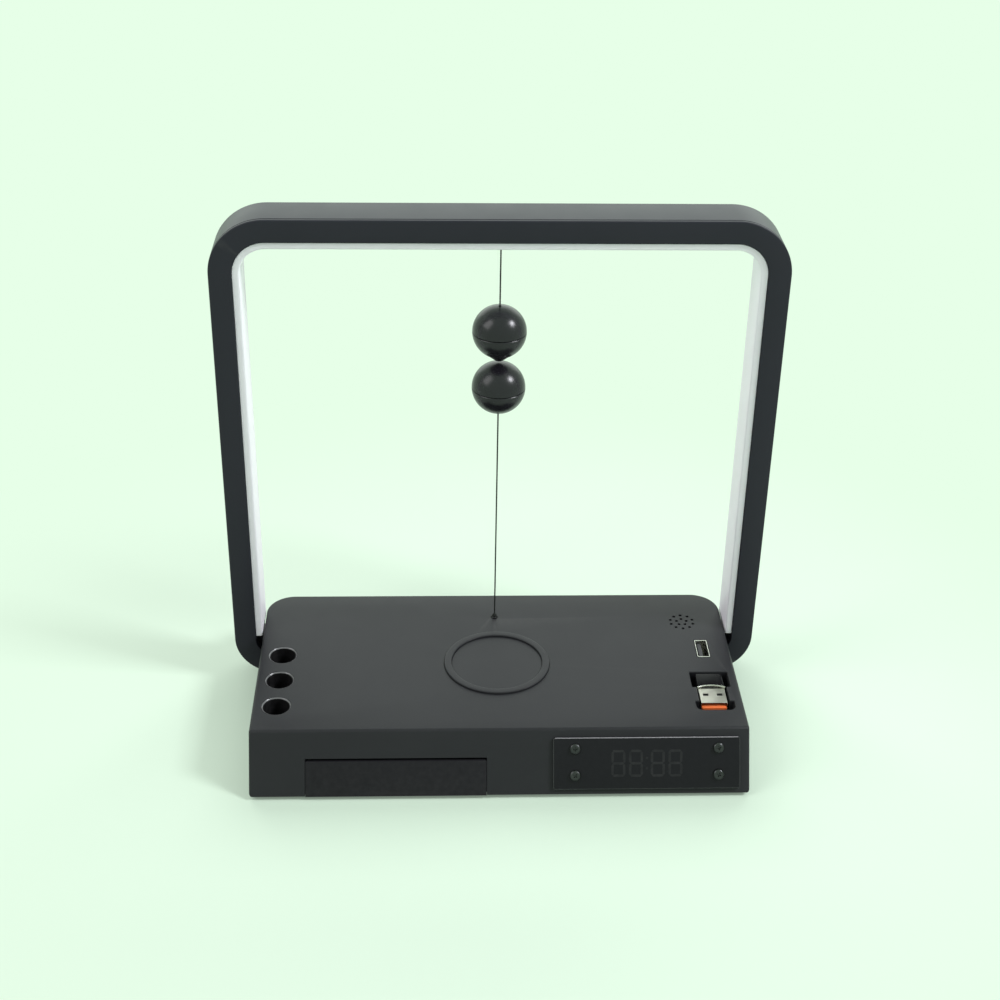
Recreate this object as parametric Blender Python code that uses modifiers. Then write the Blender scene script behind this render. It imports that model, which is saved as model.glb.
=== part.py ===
"""Magnetic pull-switch lamp with a desk organiser base.

The base holds a raised charging ring, three pen wells, a drawer, a clock behind a
screwed-on panel, a sounder, a socket and a pocket for a small plug-in adapter. A closed
rounded frame passes under the base, stands up on both sides of it and carries the light
strip along its inner side. Two magnetic balls hang on threads in the middle of it: the
upper one from the frame, the lower one from a pull switch in the base.

Metres, +Z up, the front faces -Y. The origin lies on the table under the middle of the
whole object, and every moving piece has its own origin on its joint's axis.
"""

import math

import bmesh
import bpy
from mathutils import Matrix, Vector

for leftover in list(bpy.data.objects):
    bpy.data.objects.remove(leftover)

# Base housing
BASE_WIDTH = 0.215
BASE_FOOT_DEPTH = 0.1183
BASE_HEIGHT = 0.0253
FRONT_RUN = 0.0138
BASE_CORNER_RADIUS = 0.013
BASE_EDGE_ROUND = 0.0012
SIDE_WALL = 0.002
TOP_WALL = 0.0022
FRONT_WALL = 0.0022
COVER_THICKNESS = 0.0015
FOOT_PROUD = 0.0015
FOOT_SEAT = 0.0006
FOOT_RADIUS = 0.006
FOOT_SIDE_INSET = 0.017
FOOT_FRONT_INSET = 0.0096
FOOT_REAR_INSET = 0.016

# Frame, light and its screws
FRAME_SIDE_REACH = 0.0135
FRAME_HEIGHT = 0.2248
FRAME_BAR = 0.00985
FRAME_DEPTH = 0.0221
FRAME_CORNER_RADIUS = 0.024
THREAD_DEPTH_SHARE = 0.81675
FRONT_COVER_THICKNESS = 0.0018
FRONT_COVER_CHAMFER = 0.0005
CHANNEL_WALL = 0.0015
CHANNEL_EDGE_ROUND = 0.0006
DIFFUSER_PROUD = 0.001
DIFFUSER_THICKNESS = 0.0025
DIFFUSER_EDGE_ROUND = 0.0005
LIGHT_END_ABOVE_BAR = 0.0106
STRIP_WIDTH = 0.008
STRIP_THICKNESS = 0.0008
CHIP_SIZE = 0.0028
CHIP_HEIGHT = 0.0008
CHIPS_PER_LEG = 8
CHIPS_ON_TOP = 10
FRAME_SCREW_SHARE = 0.2791
FRAME_SCREW_RADIUS = 0.0015
FRAME_SCREW_BITE = 0.005
FRAME_BOSS_RADIUS = 0.004

# Balls, threads and the pull switch
BALL_RADIUS = 0.01175
BALL_WALL = 0.002
BALL_SEAM = 0.0002
BALL_SEAM_CHAMFER = 0.00025
BALL_HOLE_RADIUS = 0.00075
UPPER_BALL_DROP = 0.04305
BALL_SPACING = 0.0265
NOSE_LENGTH = 0.0134
NOSE_ROOT_RADIUS = 0.0055
NOSE_TIP_RADIUS = 0.00195
MAGNET_RADIUS = 0.005
MAGNET_HEIGHT = 0.004
MAGNET_CHAMFER = 0.0003
THREAD_RADIUS = 0.0004
THREAD_HEAD_RADIUS = 0.00065
KNOT_RADIUS = 0.0014
SWIVEL_OUTER_RADIUS = 0.00115
SWIVEL_BORE_RADIUS = 0.00085
SWIVEL_HEIGHT = 0.0004
LOWER_PIVOT_RISE = 0.00115
UPPER_PIVOT_DROP = 0.0005
THREAD_HOLE_RADIUS = 0.0015
POST_RADIUS = 0.0022
POST_BORE_DEPTH = 0.003
SWITCH_TRAVEL = 0.001
PLUNGER_RADIUS = 0.0011
PLUNGER_FLANGE_RADIUS = 0.0026
PLUNGER_FLANGE_HEIGHT = 0.001
PLUNGER_TAIL = 0.002
ROD_TO_SWIVEL = 0.00004
SWITCH_BODY_WIDTH = 0.010
SWITCH_BODY_DEPTH = 0.008
SWITCH_ABOVE_BAR = 0.00085
SWITCH_ROOF = 0.0015

# Charging ring, coil and boards
RING_OUTER_RADIUS = 0.0238
RING_WIDTH = 0.0033
RING_DEPTH_SHARE = 0.4641
RING_PROUD = 0.0009
RING_SEAT = 0.0006
RING_EDGE_ROUND = 0.0004
COIL_INNER_RADIUS = 0.0095
COIL_PITCH = 0.0015
COIL_TURNS = 8
COIL_WIRE_RADIUS = 0.0005
COIL_LEAD = 0.0018
FERRITE_RADIUS = 0.0232
FERRITE_BORE_RADIUS = 0.0085
FERRITE_THICKNESS = 0.0008
BOARD_THICKNESS = 0.0016
MAIN_BOARD_DROP = 0.0065
MAIN_BOARD_LEFT_MARGIN = 0.0375
MAIN_BOARD_RIGHT_MARGIN = 0.0295
MAIN_BOARD_DEPTH_SHARE = 0.134
MAIN_BOARD_TO_SCREWS = 0.0055
STAKE_INSET = 0.004
STAKE_RADIUS = 0.0009
STAKE_HEAD_RADIUS = 0.0016
STAKE_HEAD_HEIGHT = 0.0008
BOARD_BOSS_RADIUS = 0.0026

# Pen wells
PEN_RADIUS_SHARE = 0.3097
PEN_HOLE_CHAMFER = 0.0005
PEN_TUBE_WALL = 0.0012
PEN_HOLE_INSET = 0.0104
PEN_FIRST_DEPTH_SHARE = 0.1675
PEN_LAST_TO_SCREWS = 0.0129
PEN_COUNT = 3

# Sounder
SOUNDER_INSET = 0.0193
SOUNDER_DEPTH_SHARE = 0.7703
SOUNDER_RADIUS = 0.0075
SOUNDER_HEIGHT = 0.0045
GRILLE_HOLE_RADIUS = 0.00075
GRILLE_OUTER_CIRCLE = 0.0054
GRILLE_INNER_CIRCLE = 0.0024
GRILLE_OUTER_HOLES = 10
GRILLE_INNER_HOLES = 5

# Upright socket and its board
SOCKET_INSET = 0.0126
SOCKET_DEPTH_SHARE = 0.5627
SOCKET_WIDTH = 0.0057
SOCKET_LENGTH = 0.0131
SOCKET_DEPTH = 0.0148
SOCKET_FLOOR = 0.0008
SOCKET_SHEET = 0.0003
SOCKET_TONGUE_THICKNESS = 0.0018
SOCKET_TONGUE_MARGIN = 0.0007
SOCKET_TONGUE_SINK = 0.0012
SOCKET_TONGUE_OFFSET = 0.0008
POWER_BOARD_WIDTH = 0.021
POWER_BOARD_DEPTH = 0.025
POWER_BOARD_RIGHT_MARGIN = 0.0041
POWER_BOARD_BEFORE_FRAME = 0.0033

# Adapter pocket and adapter
POCKET_INSET = 0.0124
POCKET_WIDTH = 0.0173
POCKET_NARROW_WIDTH = 0.0135
POCKET_DEPTH_SHARE = 0.1206
POCKET_FINGER_LENGTH = 0.0064
POCKET_NARROW_LENGTH = 0.0104
POCKET_BODY_LENGTH = 0.0111
POCKET_FINGER_RADIUS = 0.003
POCKET_DEPTH = 0.0071
POCKET_WALL = 0.0012
ADAPTER_SINK = 0.0004
ADAPTER_WIDTH = 0.0121
ADAPTER_BODY_ROUND = 0.0008
TRIM_THICKNESS = 0.0007
TRIM_ROUND = 0.0003
PLUG_WIDTH = 0.012
PLUG_HEIGHT = 0.0045
PLUG_SHEET = 0.0003
PLUG_MOUTH_GAP = 0.0003
PLUG_WINDOW = 0.0021
PLUG_WINDOW_SPREAD = 0.0031
PLUG_WINDOW_FROM_MOUTH = 0.0059
PLUG_TONGUE_HEIGHT = 0.0021
PLUG_TONGUE_SINK = 0.0006

# Clock
PANEL_LEFT = 0.0225
PANEL_RIGHT_MARGIN = 0.0044
PANEL_HEIGHT_SHARE = 0.77386
PANEL_DOWN_SHARE = 0.13187
PANEL_THICKNESS = 0.0012
PANEL_CORNER_RADIUS = 0.001
PANEL_EDGE_ROUND = 0.0002
PANEL_SCREW_INSET = 0.0094
PANEL_SCREW_DOWN_SHARE = 0.21076
PANEL_SCREW_PITCH_SHARE = 0.5157
PANEL_SCREW_HEAD_RADIUS = 0.0023
PANEL_SCREW_HEAD_HEIGHT = 0.0012
PANEL_SCREW_RADIUS = 0.0012
PANEL_BOSS_RADIUS = 0.0028
PANEL_BOSS_LENGTH = 0.0028
DISPLAY_WIDTH_SHARE = 0.4839
DISPLAY_HEIGHT_SHARE = 0.72646
DISPLAY_DOWN_SHARE = 0.09417
DISPLAY_DEPTH = 0.0048
DIGIT_SINK = 0.0005
DIGIT_MARGIN = 0.0012
CLOCK_BOARD_MARGIN = 0.006
CLOCK_BOARD_THICKNESS = 0.0012
CLOCK_BOARD_HEIGHT_SHARE = 0.81614
CLOCK_BOARD_RISE = 0.0015

# Drawer and its runners
DRAWER_LEFT_MARGIN = 0.0237
DRAWER_RIGHT = 0.0057
DRAWER_DOWN_SHARE = 0.42334
DRAWER_BEFORE_STOP = 0.003
DRAWER_WALL = 0.0012
DRAWER_FLOOR = 0.0012
DRAWER_SIDE_GAP = 0.0003
DRAWER_FRONT_CHAMFER = 0.0014
DRAWER_HEADROOM = 0.0008
DRAWER_LIFT = 0.0004
RUNNER_THICKNESS = 0.0014
RUNNER_LIP = 0.001
RUNNER_LIP_HEIGHT = 0.001
RUNNER_BEFORE_FRAME = 0.0028
RUNNER_FROM_FRONT = 0.0055
RUNNER_STOP_LENGTH = 0.002

# Cover screws
COVER_SCREW_RADIUS = 0.0011
COVER_SCREW_HEAD_RADIUS = 0.0022
COVER_SCREW_LENGTH = 0.009
COVER_BOSS_RADIUS = 0.003
COVER_SCREW_LEFT_INSET = 0.0105
COVER_SCREW_RIGHT_INSET = 0.0055
COVER_SCREW_MIDDLE_X = 0.0185
COVER_SCREW_FRONT = 0.003
COVER_SCREW_BEFORE_FRAME = 0.0058

# Setting buttons and power inlet in the back wall
BUTTON_RADIUS = 0.0019
BUTTON_FLANGE_RADIUS = 0.0028
BUTTON_FLANGE_HEIGHT = 0.001
BUTTON_STEM_RADIUS = 0.0012
BUTTON_STEM_LENGTH = 0.002
BUTTON_TRAVEL = 0.0005
BUTTON_SINK = 0.0002
BUTTON_SIDE_SHARE = 0.4651
BUTTON_PITCH = 0.010
BUTTON_DOWN = 0.0072
BUTTON_BOARD_WIDTH = 0.032
BUTTON_BOARD_HEIGHT = 0.0095
BUTTON_BOARD_THICKNESS = 0.0012
INLET_SIDE_SHARE = 0.5116
INLET_WIDTH = 0.0089
INLET_HEIGHT = 0.0033
INLET_LENGTH = 0.007
INLET_SHEET = 0.0003
INLET_FLOOR = 0.0008
INLET_SINK = 0.0003
INLET_TONGUE_HEIGHT = 0.0007
INLET_TONGUE_WIDTH = 0.0067
INLET_TONGUE_SINK = 0.001
INLET_BOARD_WIDTH = 0.026
INLET_BOARD_ABOVE_BAR = 0.00275
INLET_BOARD_BEFORE_FRAME = 0.0083
INLET_BOARD_BACK_GAP = 0.001

# Clearances shared by all pieces
GAP = 0.0003
SNUG = 0.00015
OVERRUN = 0.002
WELD = 0.00001

# Facet counts
FINE_STEPS = 40
ROUND_STEPS = 24
SMALL_STEPS = 16
TINY_STEPS = 10
CORNER_STEPS = 8
BALL_STEPS = 6
COIL_STEPS = 24

# Colours
HOUSING_BLACK = (0.060, 0.065, 0.066)
FRAME_BLACK = (0.032, 0.036, 0.040)
DRAWER_BLACK = (0.040, 0.041, 0.046)
BALL_BLACK = (0.028, 0.030, 0.033)
THREAD_BLACK = (0.020, 0.022, 0.020)
DIFFUSER_WHITE = (0.700, 0.760, 0.830)
SMOKED_GLOSS = (0.015, 0.016, 0.018)
BRIGHT_STEEL = (0.560, 0.550, 0.530)
COPPER = (0.700, 0.330, 0.180)
FERRITE_GREY = (0.080, 0.080, 0.085)
BOARD_GREEN = (0.030, 0.150, 0.070)
RUBBER_BLACK = (0.025, 0.025, 0.025)
MAGNET_NICKEL = (0.500, 0.500, 0.480)
TONGUE_ORANGE = (0.680, 0.160, 0.060)
TONGUE_GREY = (0.250, 0.260, 0.270)

# Levels and places that follow from the sizes above
half_width = BASE_WIDTH / 2
top_depth = BASE_FOOT_DEPTH - FRONT_RUN
frame_width = BASE_WIDTH + 2 * FRAME_SIDE_REACH
base_bottom = FOOT_PROUD
base_top = base_bottom + BASE_HEIGHT
ceiling = base_top - TOP_WALL
boss_root = base_top - TOP_WALL / 2
cover_top = base_bottom + COVER_THICKNESS
boss_foot = cover_top + GAP
back_y = BASE_FOOT_DEPTH / 2
front_bottom_y = -BASE_FOOT_DEPTH / 2
front_top_y = front_bottom_y + FRONT_RUN
front_lean = math.atan2(FRONT_RUN, BASE_HEIGHT)
front_out = Vector((0.0, -math.cos(front_lean), math.sin(front_lean)))
front_up = Vector((0.0, math.sin(front_lean), math.cos(front_lean)))
front_length = math.hypot(FRONT_RUN, BASE_HEIGHT)
back_inner_y = back_y - SIDE_WALL
thread_y = front_top_y + THREAD_DEPTH_SHARE * top_depth
frame_front_y = thread_y - FRAME_DEPTH / 2
frame_back_y = thread_y + FRAME_DEPTH / 2
channel_front_y = frame_front_y + FRONT_COVER_THICKNESS + GAP
rear_screw_y = frame_front_y - COVER_SCREW_BEFORE_FRAME
frame_screw_x = FRAME_SCREW_SHARE * half_width
frame_low = boss_foot
frame_high = frame_low + FRAME_HEIGHT
frame_middle = (frame_low + frame_high) / 2
bar_top = frame_low + FRAME_BAR
light_end = bar_top + LIGHT_END_ABOVE_BAR
diffuser_face = frame_high - FRAME_BAR - DIFFUSER_PROUD
lower_pivot = base_top + LOWER_PIVOT_RISE
upper_pivot = diffuser_face - UPPER_PIVOT_DROP
upper_ball_z = diffuser_face - UPPER_BALL_DROP
lower_ball_z = upper_ball_z - BALL_SPACING
ball_bore = BALL_RADIUS - BALL_WALL
knot_offset = ball_bore - KNOT_RADIUS - SNUG
ring_y = front_top_y + RING_DEPTH_SHARE * top_depth
pen_first_y = front_top_y + PEN_FIRST_DEPTH_SHARE * top_depth
pen_pitch = (rear_screw_y - PEN_LAST_TO_SCREWS - pen_first_y) / (PEN_COUNT - 1)
pen_radius = PEN_RADIUS_SHARE * pen_pitch
sounder_x = half_width - SOUNDER_INSET
sounder_y = front_top_y + SOUNDER_DEPTH_SHARE * top_depth
socket_x = half_width - SOCKET_INSET
socket_y = front_top_y + SOCKET_DEPTH_SHARE * top_depth
pocket_x = half_width - POCKET_INSET
panel_width = half_width - PANEL_RIGHT_MARGIN - PANEL_LEFT
panel_x = PANEL_LEFT + panel_width / 2
panel_height = PANEL_HEIGHT_SHARE * front_length
panel_down = PANEL_DOWN_SHARE * front_length
panel_screw_down = panel_down + PANEL_SCREW_DOWN_SHARE * panel_height
panel_screw_pitch = PANEL_SCREW_PITCH_SHARE * panel_height
display_height = DISPLAY_HEIGHT_SHARE * panel_height
display_down = panel_down + DISPLAY_DOWN_SHARE * panel_height
clock_board_height = CLOCK_BOARD_HEIGHT_SHARE * panel_height
drawer_down = DRAWER_DOWN_SHARE * front_length
display_width = DISPLAY_WIDTH_SHARE * panel_width
drawer_left = half_width - DRAWER_LEFT_MARGIN
runner_back = frame_front_y - RUNNER_BEFORE_FRAME
drawer_back = runner_back - RUNNER_STOP_LENGTH - DRAWER_BEFORE_STOP
inlet_x = INLET_SIDE_SHARE * half_width
button_x = BUTTON_SIDE_SHARE * half_width
switch_height = ceiling - GAP - SWITCH_ABOVE_BAR - bar_top
swivel_sweep = math.hypot(SWIVEL_OUTER_RADIUS, SWIVEL_HEIGHT / 2)
flange_top = ceiling - GAP - SWITCH_ROOF - GAP
main_board_top = base_top - MAIN_BOARD_DROP
inlet_board_top = bar_top + INLET_BOARD_ABOVE_BAR
socket_bottom = base_top - SOCKET_DEPTH
power_board_top = socket_bottom - GAP
power_board_bottom = power_board_top - BOARD_THICKNESS


def collection(name):
    group = bpy.data.collections.new(name)
    bpy.context.scene.collection.children.link(group)
    return group


LAMP = collection('magnetic_lamp')
TOOLS = collection('cutters')


def add_object(name, mesh, matrix, group):
    obj = bpy.data.objects.new(name, mesh)
    obj.matrix_world = matrix
    group.objects.link(obj)
    if group is TOOLS:
        obj.hide_render = True
        obj.display_type = 'WIRE'
    return obj


def finish(obj, colour, roughness, metallic=0.0):
    """Give a piece its own material and smooth shading with sharp edges kept."""
    look = bpy.data.materials.new(obj.name)
    look.use_nodes = True
    shader = look.node_tree.nodes['Principled BSDF']
    shader.inputs['Base Color'].default_value = (*colour, 1.0)
    shader.inputs['Roughness'].default_value = roughness
    shader.inputs['Metallic'].default_value = metallic
    obj.data.materials.clear()
    obj.data.materials.append(look)
    obj.data.shade_smooth()
    obj.data.set_sharp_from_angle(angle=math.radians(30))
    return obj


def at(x, y, z):
    return Matrix.Translation((x, y, z))


def upright(x, y, z):
    """A drawing plane that faces -Y: its first axis is +X and its second is +Z."""
    return Matrix.Translation((x, y, z)) @ Matrix.Rotation(math.radians(90), 4, 'X')


def on_front(x, down, out=0.0):
    """A drawing plane on the slanted front, measured down from its top edge."""
    place = Vector((x, front_top_y, base_top)) - front_up * down + front_out * out
    return Matrix.Translation(place) @ Matrix.Rotation(math.pi / 2 - front_lean, 4, 'X')


def arc(centre_x, centre_y, radius, start, end, steps=CORNER_STEPS):
    """Points of an arc, with its angles in degrees."""
    points = []
    for step in range(steps + 1):
        angle = math.radians(start + (end - start) * step / steps)
        points.append((centre_x + radius * math.cos(angle), centre_y + radius * math.sin(angle)))
    return points


def rounded_rectangle(width, height, radius):
    right = width / 2 - radius
    high = height / 2 - radius
    points = arc(right, high, radius, 0, 90)
    points += arc(-right, high, radius, 90, 180)
    points += arc(-right, -high, radius, 180, 270)
    points += arc(right, -high, radius, 270, 360)
    return points


def box(name, size, matrix, group):
    mesh = bpy.data.meshes.new(name)
    shape = bmesh.new()
    bmesh.ops.create_cube(shape, size=1.0)
    bmesh.ops.scale(shape, vec=size, verts=shape.verts)
    shape.to_mesh(mesh)
    shape.free()
    return add_object(name, mesh, matrix, group)


def box_between(name, low, high, group):
    size = [end - start for start, end in zip(low, high)]
    middle = [(start + end) / 2 for start, end in zip(low, high)]
    return box(name, size, at(*middle), group)


def cylinder(name, radius, low, high, x, y, group, steps=SMALL_STEPS):
    mesh = bpy.data.meshes.new(name)
    shape = bmesh.new()
    bmesh.ops.create_cone(shape, cap_ends=True, segments=steps, radius1=radius, radius2=radius,
                          depth=high - low)
    shape.to_mesh(mesh)
    shape.free()
    return add_object(name, mesh, at(x, y, (low + high) / 2), group)


def plate(name, outlines, thickness, matrix, group):
    """A flat plate with closed outlines, the first outside and the others as holes."""
    curve = bpy.data.curves.new(name, 'CURVE')
    curve.dimensions = '2D'
    curve.fill_mode = 'BOTH'
    curve.extrude = thickness / 2
    for outline in outlines:
        spline = curve.splines.new('POLY')
        spline.points.add(len(outline) - 1)
        for point, (across, along) in zip(spline.points, outline):
            point.co = (across, along, 0.0, 1.0)
        spline.use_cyclic_u = True
    obj = mesh_from_curve(name, curve, matrix, group)
    if len(outlines) == 1:
        shape = bmesh.new()
        shape.from_mesh(obj.data)
        bmesh.ops.dissolve_limit(shape, angle_limit=math.radians(1), verts=shape.verts,
                                 edges=shape.edges)
        shape.to_mesh(obj.data)
        shape.free()
    return obj


def mesh_from_curve(name, curve, matrix, group):
    """Turn a curve into a closed mesh object that Booleans can use."""
    guide = add_object(name + '_guide', curve, matrix, TOOLS)
    bpy.context.view_layer.update()
    graph = bpy.context.evaluated_depsgraph_get()
    mesh = bpy.data.meshes.new_from_object(guide.evaluated_get(graph))
    shape = bmesh.new()
    shape.from_mesh(mesh)
    bmesh.ops.remove_doubles(shape, verts=shape.verts, dist=WELD)
    bmesh.ops.recalc_face_normals(shape, faces=shape.faces)
    shape.to_mesh(mesh)
    shape.free()
    mesh.name = name
    obj = add_object(name, mesh, guide.matrix_world.copy(), group)
    bpy.data.objects.remove(guide)
    bpy.data.curves.remove(curve)
    return obj


def turned(name, profile, matrix, group, steps=ROUND_STEPS, closed=False):
    """A turned piece: its profile of radius and height runs down the outer side."""
    points = [(radius, 0.0, height) for radius, height in profile]
    edges = [(index, index + 1) for index in range(len(points) - 1)]
    if closed:
        edges.append((len(points) - 1, 0))
    mesh = bpy.data.meshes.new(name)
    mesh.from_pydata(points, edges, [])
    obj = add_object(name, mesh, matrix, group)
    turn = obj.modifiers.new('Turn', 'SCREW')
    turn.steps = steps
    turn.render_steps = steps
    turn.use_merge_vertices = True
    turn.merge_threshold = WELD
    turn.use_smooth_shade = True
    return obj


def cut_plane(obj, point, normal):
    """Slice off what lies on the normal's side of a plane, and close the cut."""
    inverse = obj.matrix_world.inverted()
    local_point = inverse @ Vector(point)
    local_normal = inverse.to_3x3() @ Vector(normal)
    shape = bmesh.new()
    shape.from_mesh(obj.data)
    everything = shape.verts[:] + shape.edges[:] + shape.faces[:]
    result = bmesh.ops.bisect_plane(shape, geom=everything, plane_co=local_point,
                                    plane_no=local_normal, clear_outer=True)
    rim = [piece for piece in result['geom_cut'] if isinstance(piece, bmesh.types.BMEdge)]
    bmesh.ops.holes_fill(shape, edges=rim)
    bmesh.ops.recalc_face_normals(shape, faces=shape.faces)
    shape.to_mesh(obj.data)
    shape.free()
    return obj


def gather(name, shapes, group):
    """Collect separate shapes in one object whose origin is the first shape's."""
    bpy.context.view_layer.update()
    graph = bpy.context.evaluated_depsgraph_get()
    matrix = shapes[0].matrix_world.copy()
    inverse = matrix.inverted()
    together = bmesh.new()
    for piece in shapes:
        mesh = bpy.data.meshes.new_from_object(piece.evaluated_get(graph))
        mesh.transform(inverse @ piece.matrix_world)
        together.from_mesh(mesh)
        bpy.data.meshes.remove(mesh)
    for piece in shapes:
        bpy.data.objects.remove(piece)
    mesh = bpy.data.meshes.new(name)
    together.to_mesh(mesh)
    together.free()
    return add_object(name, mesh, matrix, group)


def combine(obj, tool, operation):
    change = obj.modifiers.new(tool.name, 'BOOLEAN')
    change.operation = operation
    change.object = tool


def cut(obj, tool):
    combine(obj, tool, 'DIFFERENCE')


def fuse(obj, tool):
    combine(obj, tool, 'UNION')


def round_edges(obj, width, segments=2):
    bevel = obj.modifiers.new('Rounded edges', 'BEVEL')
    bevel.width = width
    bevel.segments = segments
    bevel.limit_method = 'ANGLE'
    bevel.angle_limit = math.radians(40)


def countersunk_screw(radius, head_radius, length):
    """Profile of a countersunk screw that stands head down on height zero."""
    head = head_radius - radius
    return [(0.0, length), (radius, length), (radius, head), (head_radius, 0.0), (0.0, 0.0)]


def pan_screw(radius, head_radius, head_height, length):
    """Profile of a pan-head screw, its seat at height zero and its shank upwards."""
    crown = head_height / 2
    return [(0.0, length), (radius, length), (radius, 0.0), (head_radius, 0.0),
            (head_radius, -crown), (head_radius - crown, -head_height), (0.0, -head_height)]


def base_solid(name, inset, front_inset, low, high, group):
    """The base's outer form drawn in on its sides and front, between two levels."""
    half = half_width - inset
    rear = back_y - inset
    radius = BASE_CORNER_RADIUS - inset
    outline = [(-half, front_bottom_y - OVERRUN), (half, front_bottom_y - OVERRUN)]
    outline += arc(half - radius, rear - radius, radius, 0, 90)
    outline += arc(-half + radius, rear - radius, radius, 90, 180)
    solid = plate(name, [outline], high - low, at(0, 0, (low + high) / 2), group)
    front_point = Vector((0.0, front_top_y, base_top)) - front_out * front_inset
    return cut_plane(solid, front_point, front_out)


def frame_ring(name, outer_inset, inner_inset, front, back, group):
    """A ring that follows the frame, between two insets from its outer edge."""
    outer = rounded_rectangle(frame_width - 2 * outer_inset, FRAME_HEIGHT - 2 * outer_inset,
                              FRAME_CORNER_RADIUS - outer_inset)
    inner = rounded_rectangle(frame_width - 2 * inner_inset, FRAME_HEIGHT - 2 * inner_inset,
                              FRAME_CORNER_RADIUS - inner_inset)
    matrix = upright(0, (front + back) / 2, frame_middle)
    return plate(name, [outer, inner], back - front, matrix, group)


def cover_screw_places():
    left = -half_width + COVER_SCREW_LEFT_INSET
    right = half_width - COVER_SCREW_RIGHT_INSET
    behind_coil = FERRITE_RADIUS + COVER_BOSS_RADIUS + GAP
    front_row = [(x, front_top_y + COVER_SCREW_FRONT) for x in (left, COVER_SCREW_MIDDLE_X, right)]
    rear_row = [(x, rear_screw_y) for x in (left, behind_coil, right)]
    return front_row + rear_row


def foot_places():
    half = half_width - FOOT_SIDE_INSET
    rows = (front_bottom_y + FOOT_FRONT_INSET, back_y - FOOT_REAR_INSET)
    return [(x, y) for x in (-half, half) for y in rows]


def pen_places():
    x = -half_width + PEN_HOLE_INSET
    return [(x, pen_first_y + pen_pitch * index) for index in range(PEN_COUNT)]


def main_board_edges():
    front = front_top_y + MAIN_BOARD_DEPTH_SHARE * top_depth
    left = -half_width + MAIN_BOARD_LEFT_MARGIN
    return left, half_width - MAIN_BOARD_RIGHT_MARGIN, front, rear_screw_y - MAIN_BOARD_TO_SCREWS


def main_board_stake_places():
    left, right, front, back = main_board_edges()
    rows = (front + STAKE_INSET, back - STAKE_INSET)
    return [(x, y) for x in (left + STAKE_INSET, right - STAKE_INSET) for y in rows]


def inlet_board_stake_places():
    y = frame_front_y - INLET_BOARD_BEFORE_FRAME + STAKE_INSET
    reach = INLET_BOARD_WIDTH / 2 - STAKE_INSET
    return [(inlet_x - reach, y), (inlet_x + reach, y)]


def power_board_edges():
    right = socket_x + POWER_BOARD_RIGHT_MARGIN
    back = frame_front_y - POWER_BOARD_BEFORE_FRAME
    return right - POWER_BOARD_WIDTH, right, back - POWER_BOARD_DEPTH, back


def power_board_stake_places():
    left, _, front, back = power_board_edges()
    x = left + STAKE_INSET
    return [(x, front + STAKE_INSET), (x, back - STAKE_INSET)]


def board_stake(root, board_top, matrix):
    """A boss that ends in a pin through a board, melted over to a head on its far side."""
    seat = board_top + GAP
    head = board_top - BOARD_THICKNESS - GAP
    profile = [(0.0, root), (BOARD_BOSS_RADIUS, root), (BOARD_BOSS_RADIUS, seat),
               (STAKE_RADIUS, seat), (STAKE_RADIUS, head), (STAKE_HEAD_RADIUS, head),
               (STAKE_RADIUS, head - STAKE_HEAD_HEIGHT), (0.0, head - STAKE_HEAD_HEIGHT)]
    return turned('board_stake', profile, matrix, TOOLS, TINY_STEPS)


def board_with_holes(name, low, high, places):
    """A flat board between two corners, with a hole for each stake."""
    board = box_between(name, low, high, LAMP)
    holes = [cylinder('stake_hole', STAKE_RADIUS + SNUG, low[2] - OVERRUN, high[2] + OVERRUN,
                      x, y, TOOLS, TINY_STEPS) for x, y in places]
    cut(board, gather('stake_holes', holes, TOOLS))
    return finish(board, BOARD_GREEN, 0.5)


def panel_screw_places():
    reach = panel_width / 2 - PANEL_SCREW_INSET
    rows = (panel_screw_down, panel_screw_down + panel_screw_pitch)
    return [(panel_x + side * reach, down) for side in (-1, 1) for down in rows]


def button_places():
    return [-button_x - BUTTON_PITCH, -button_x, -button_x + BUTTON_PITCH]


def pocket_levels():
    """Lengthwise places of the pocket: its front, neck, shoulder and back."""
    front = front_top_y + POCKET_DEPTH_SHARE * top_depth
    neck = front + POCKET_FINGER_LENGTH
    shoulder = neck + POCKET_NARROW_LENGTH
    return front, neck, shoulder, shoulder + POCKET_BODY_LENGTH


def pocket_ends():
    """The pocket's two wide ends: the rounded one for a finger and the adapter's own."""
    front, neck, shoulder, back = pocket_levels()
    floor = base_top - POCKET_DEPTH
    height = POCKET_DEPTH + OVERRUN
    wide = POCKET_WIDTH / 2
    round_x = wide - POCKET_FINGER_RADIUS
    round_y = front + POCKET_FINGER_RADIUS
    outline = arc(-round_x, round_y, POCKET_FINGER_RADIUS, 180, 270)
    outline += arc(round_x, round_y, POCKET_FINGER_RADIUS, 270, 360)
    outline += [(wide, neck), (-wide, neck)]
    finger_end = plate('finger_end', [outline], height, at(pocket_x, 0, floor + height / 2), TOOLS)
    body_end = box_between('body_end', (pocket_x - wide, shoulder, floor),
                           (pocket_x + wide, back, floor + height), TOOLS)
    return [finger_end, body_end]


def pocket_neck():
    """The pocket's narrow middle, run on into both wide ends."""
    _, neck, shoulder, _ = pocket_levels()
    narrow = POCKET_NARROW_WIDTH / 2
    return box_between('pocket_neck', (pocket_x - narrow, neck - OVERRUN, base_top - POCKET_DEPTH),
                       (pocket_x + narrow, shoulder + OVERRUN, base_top + OVERRUN), TOOLS)


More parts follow.
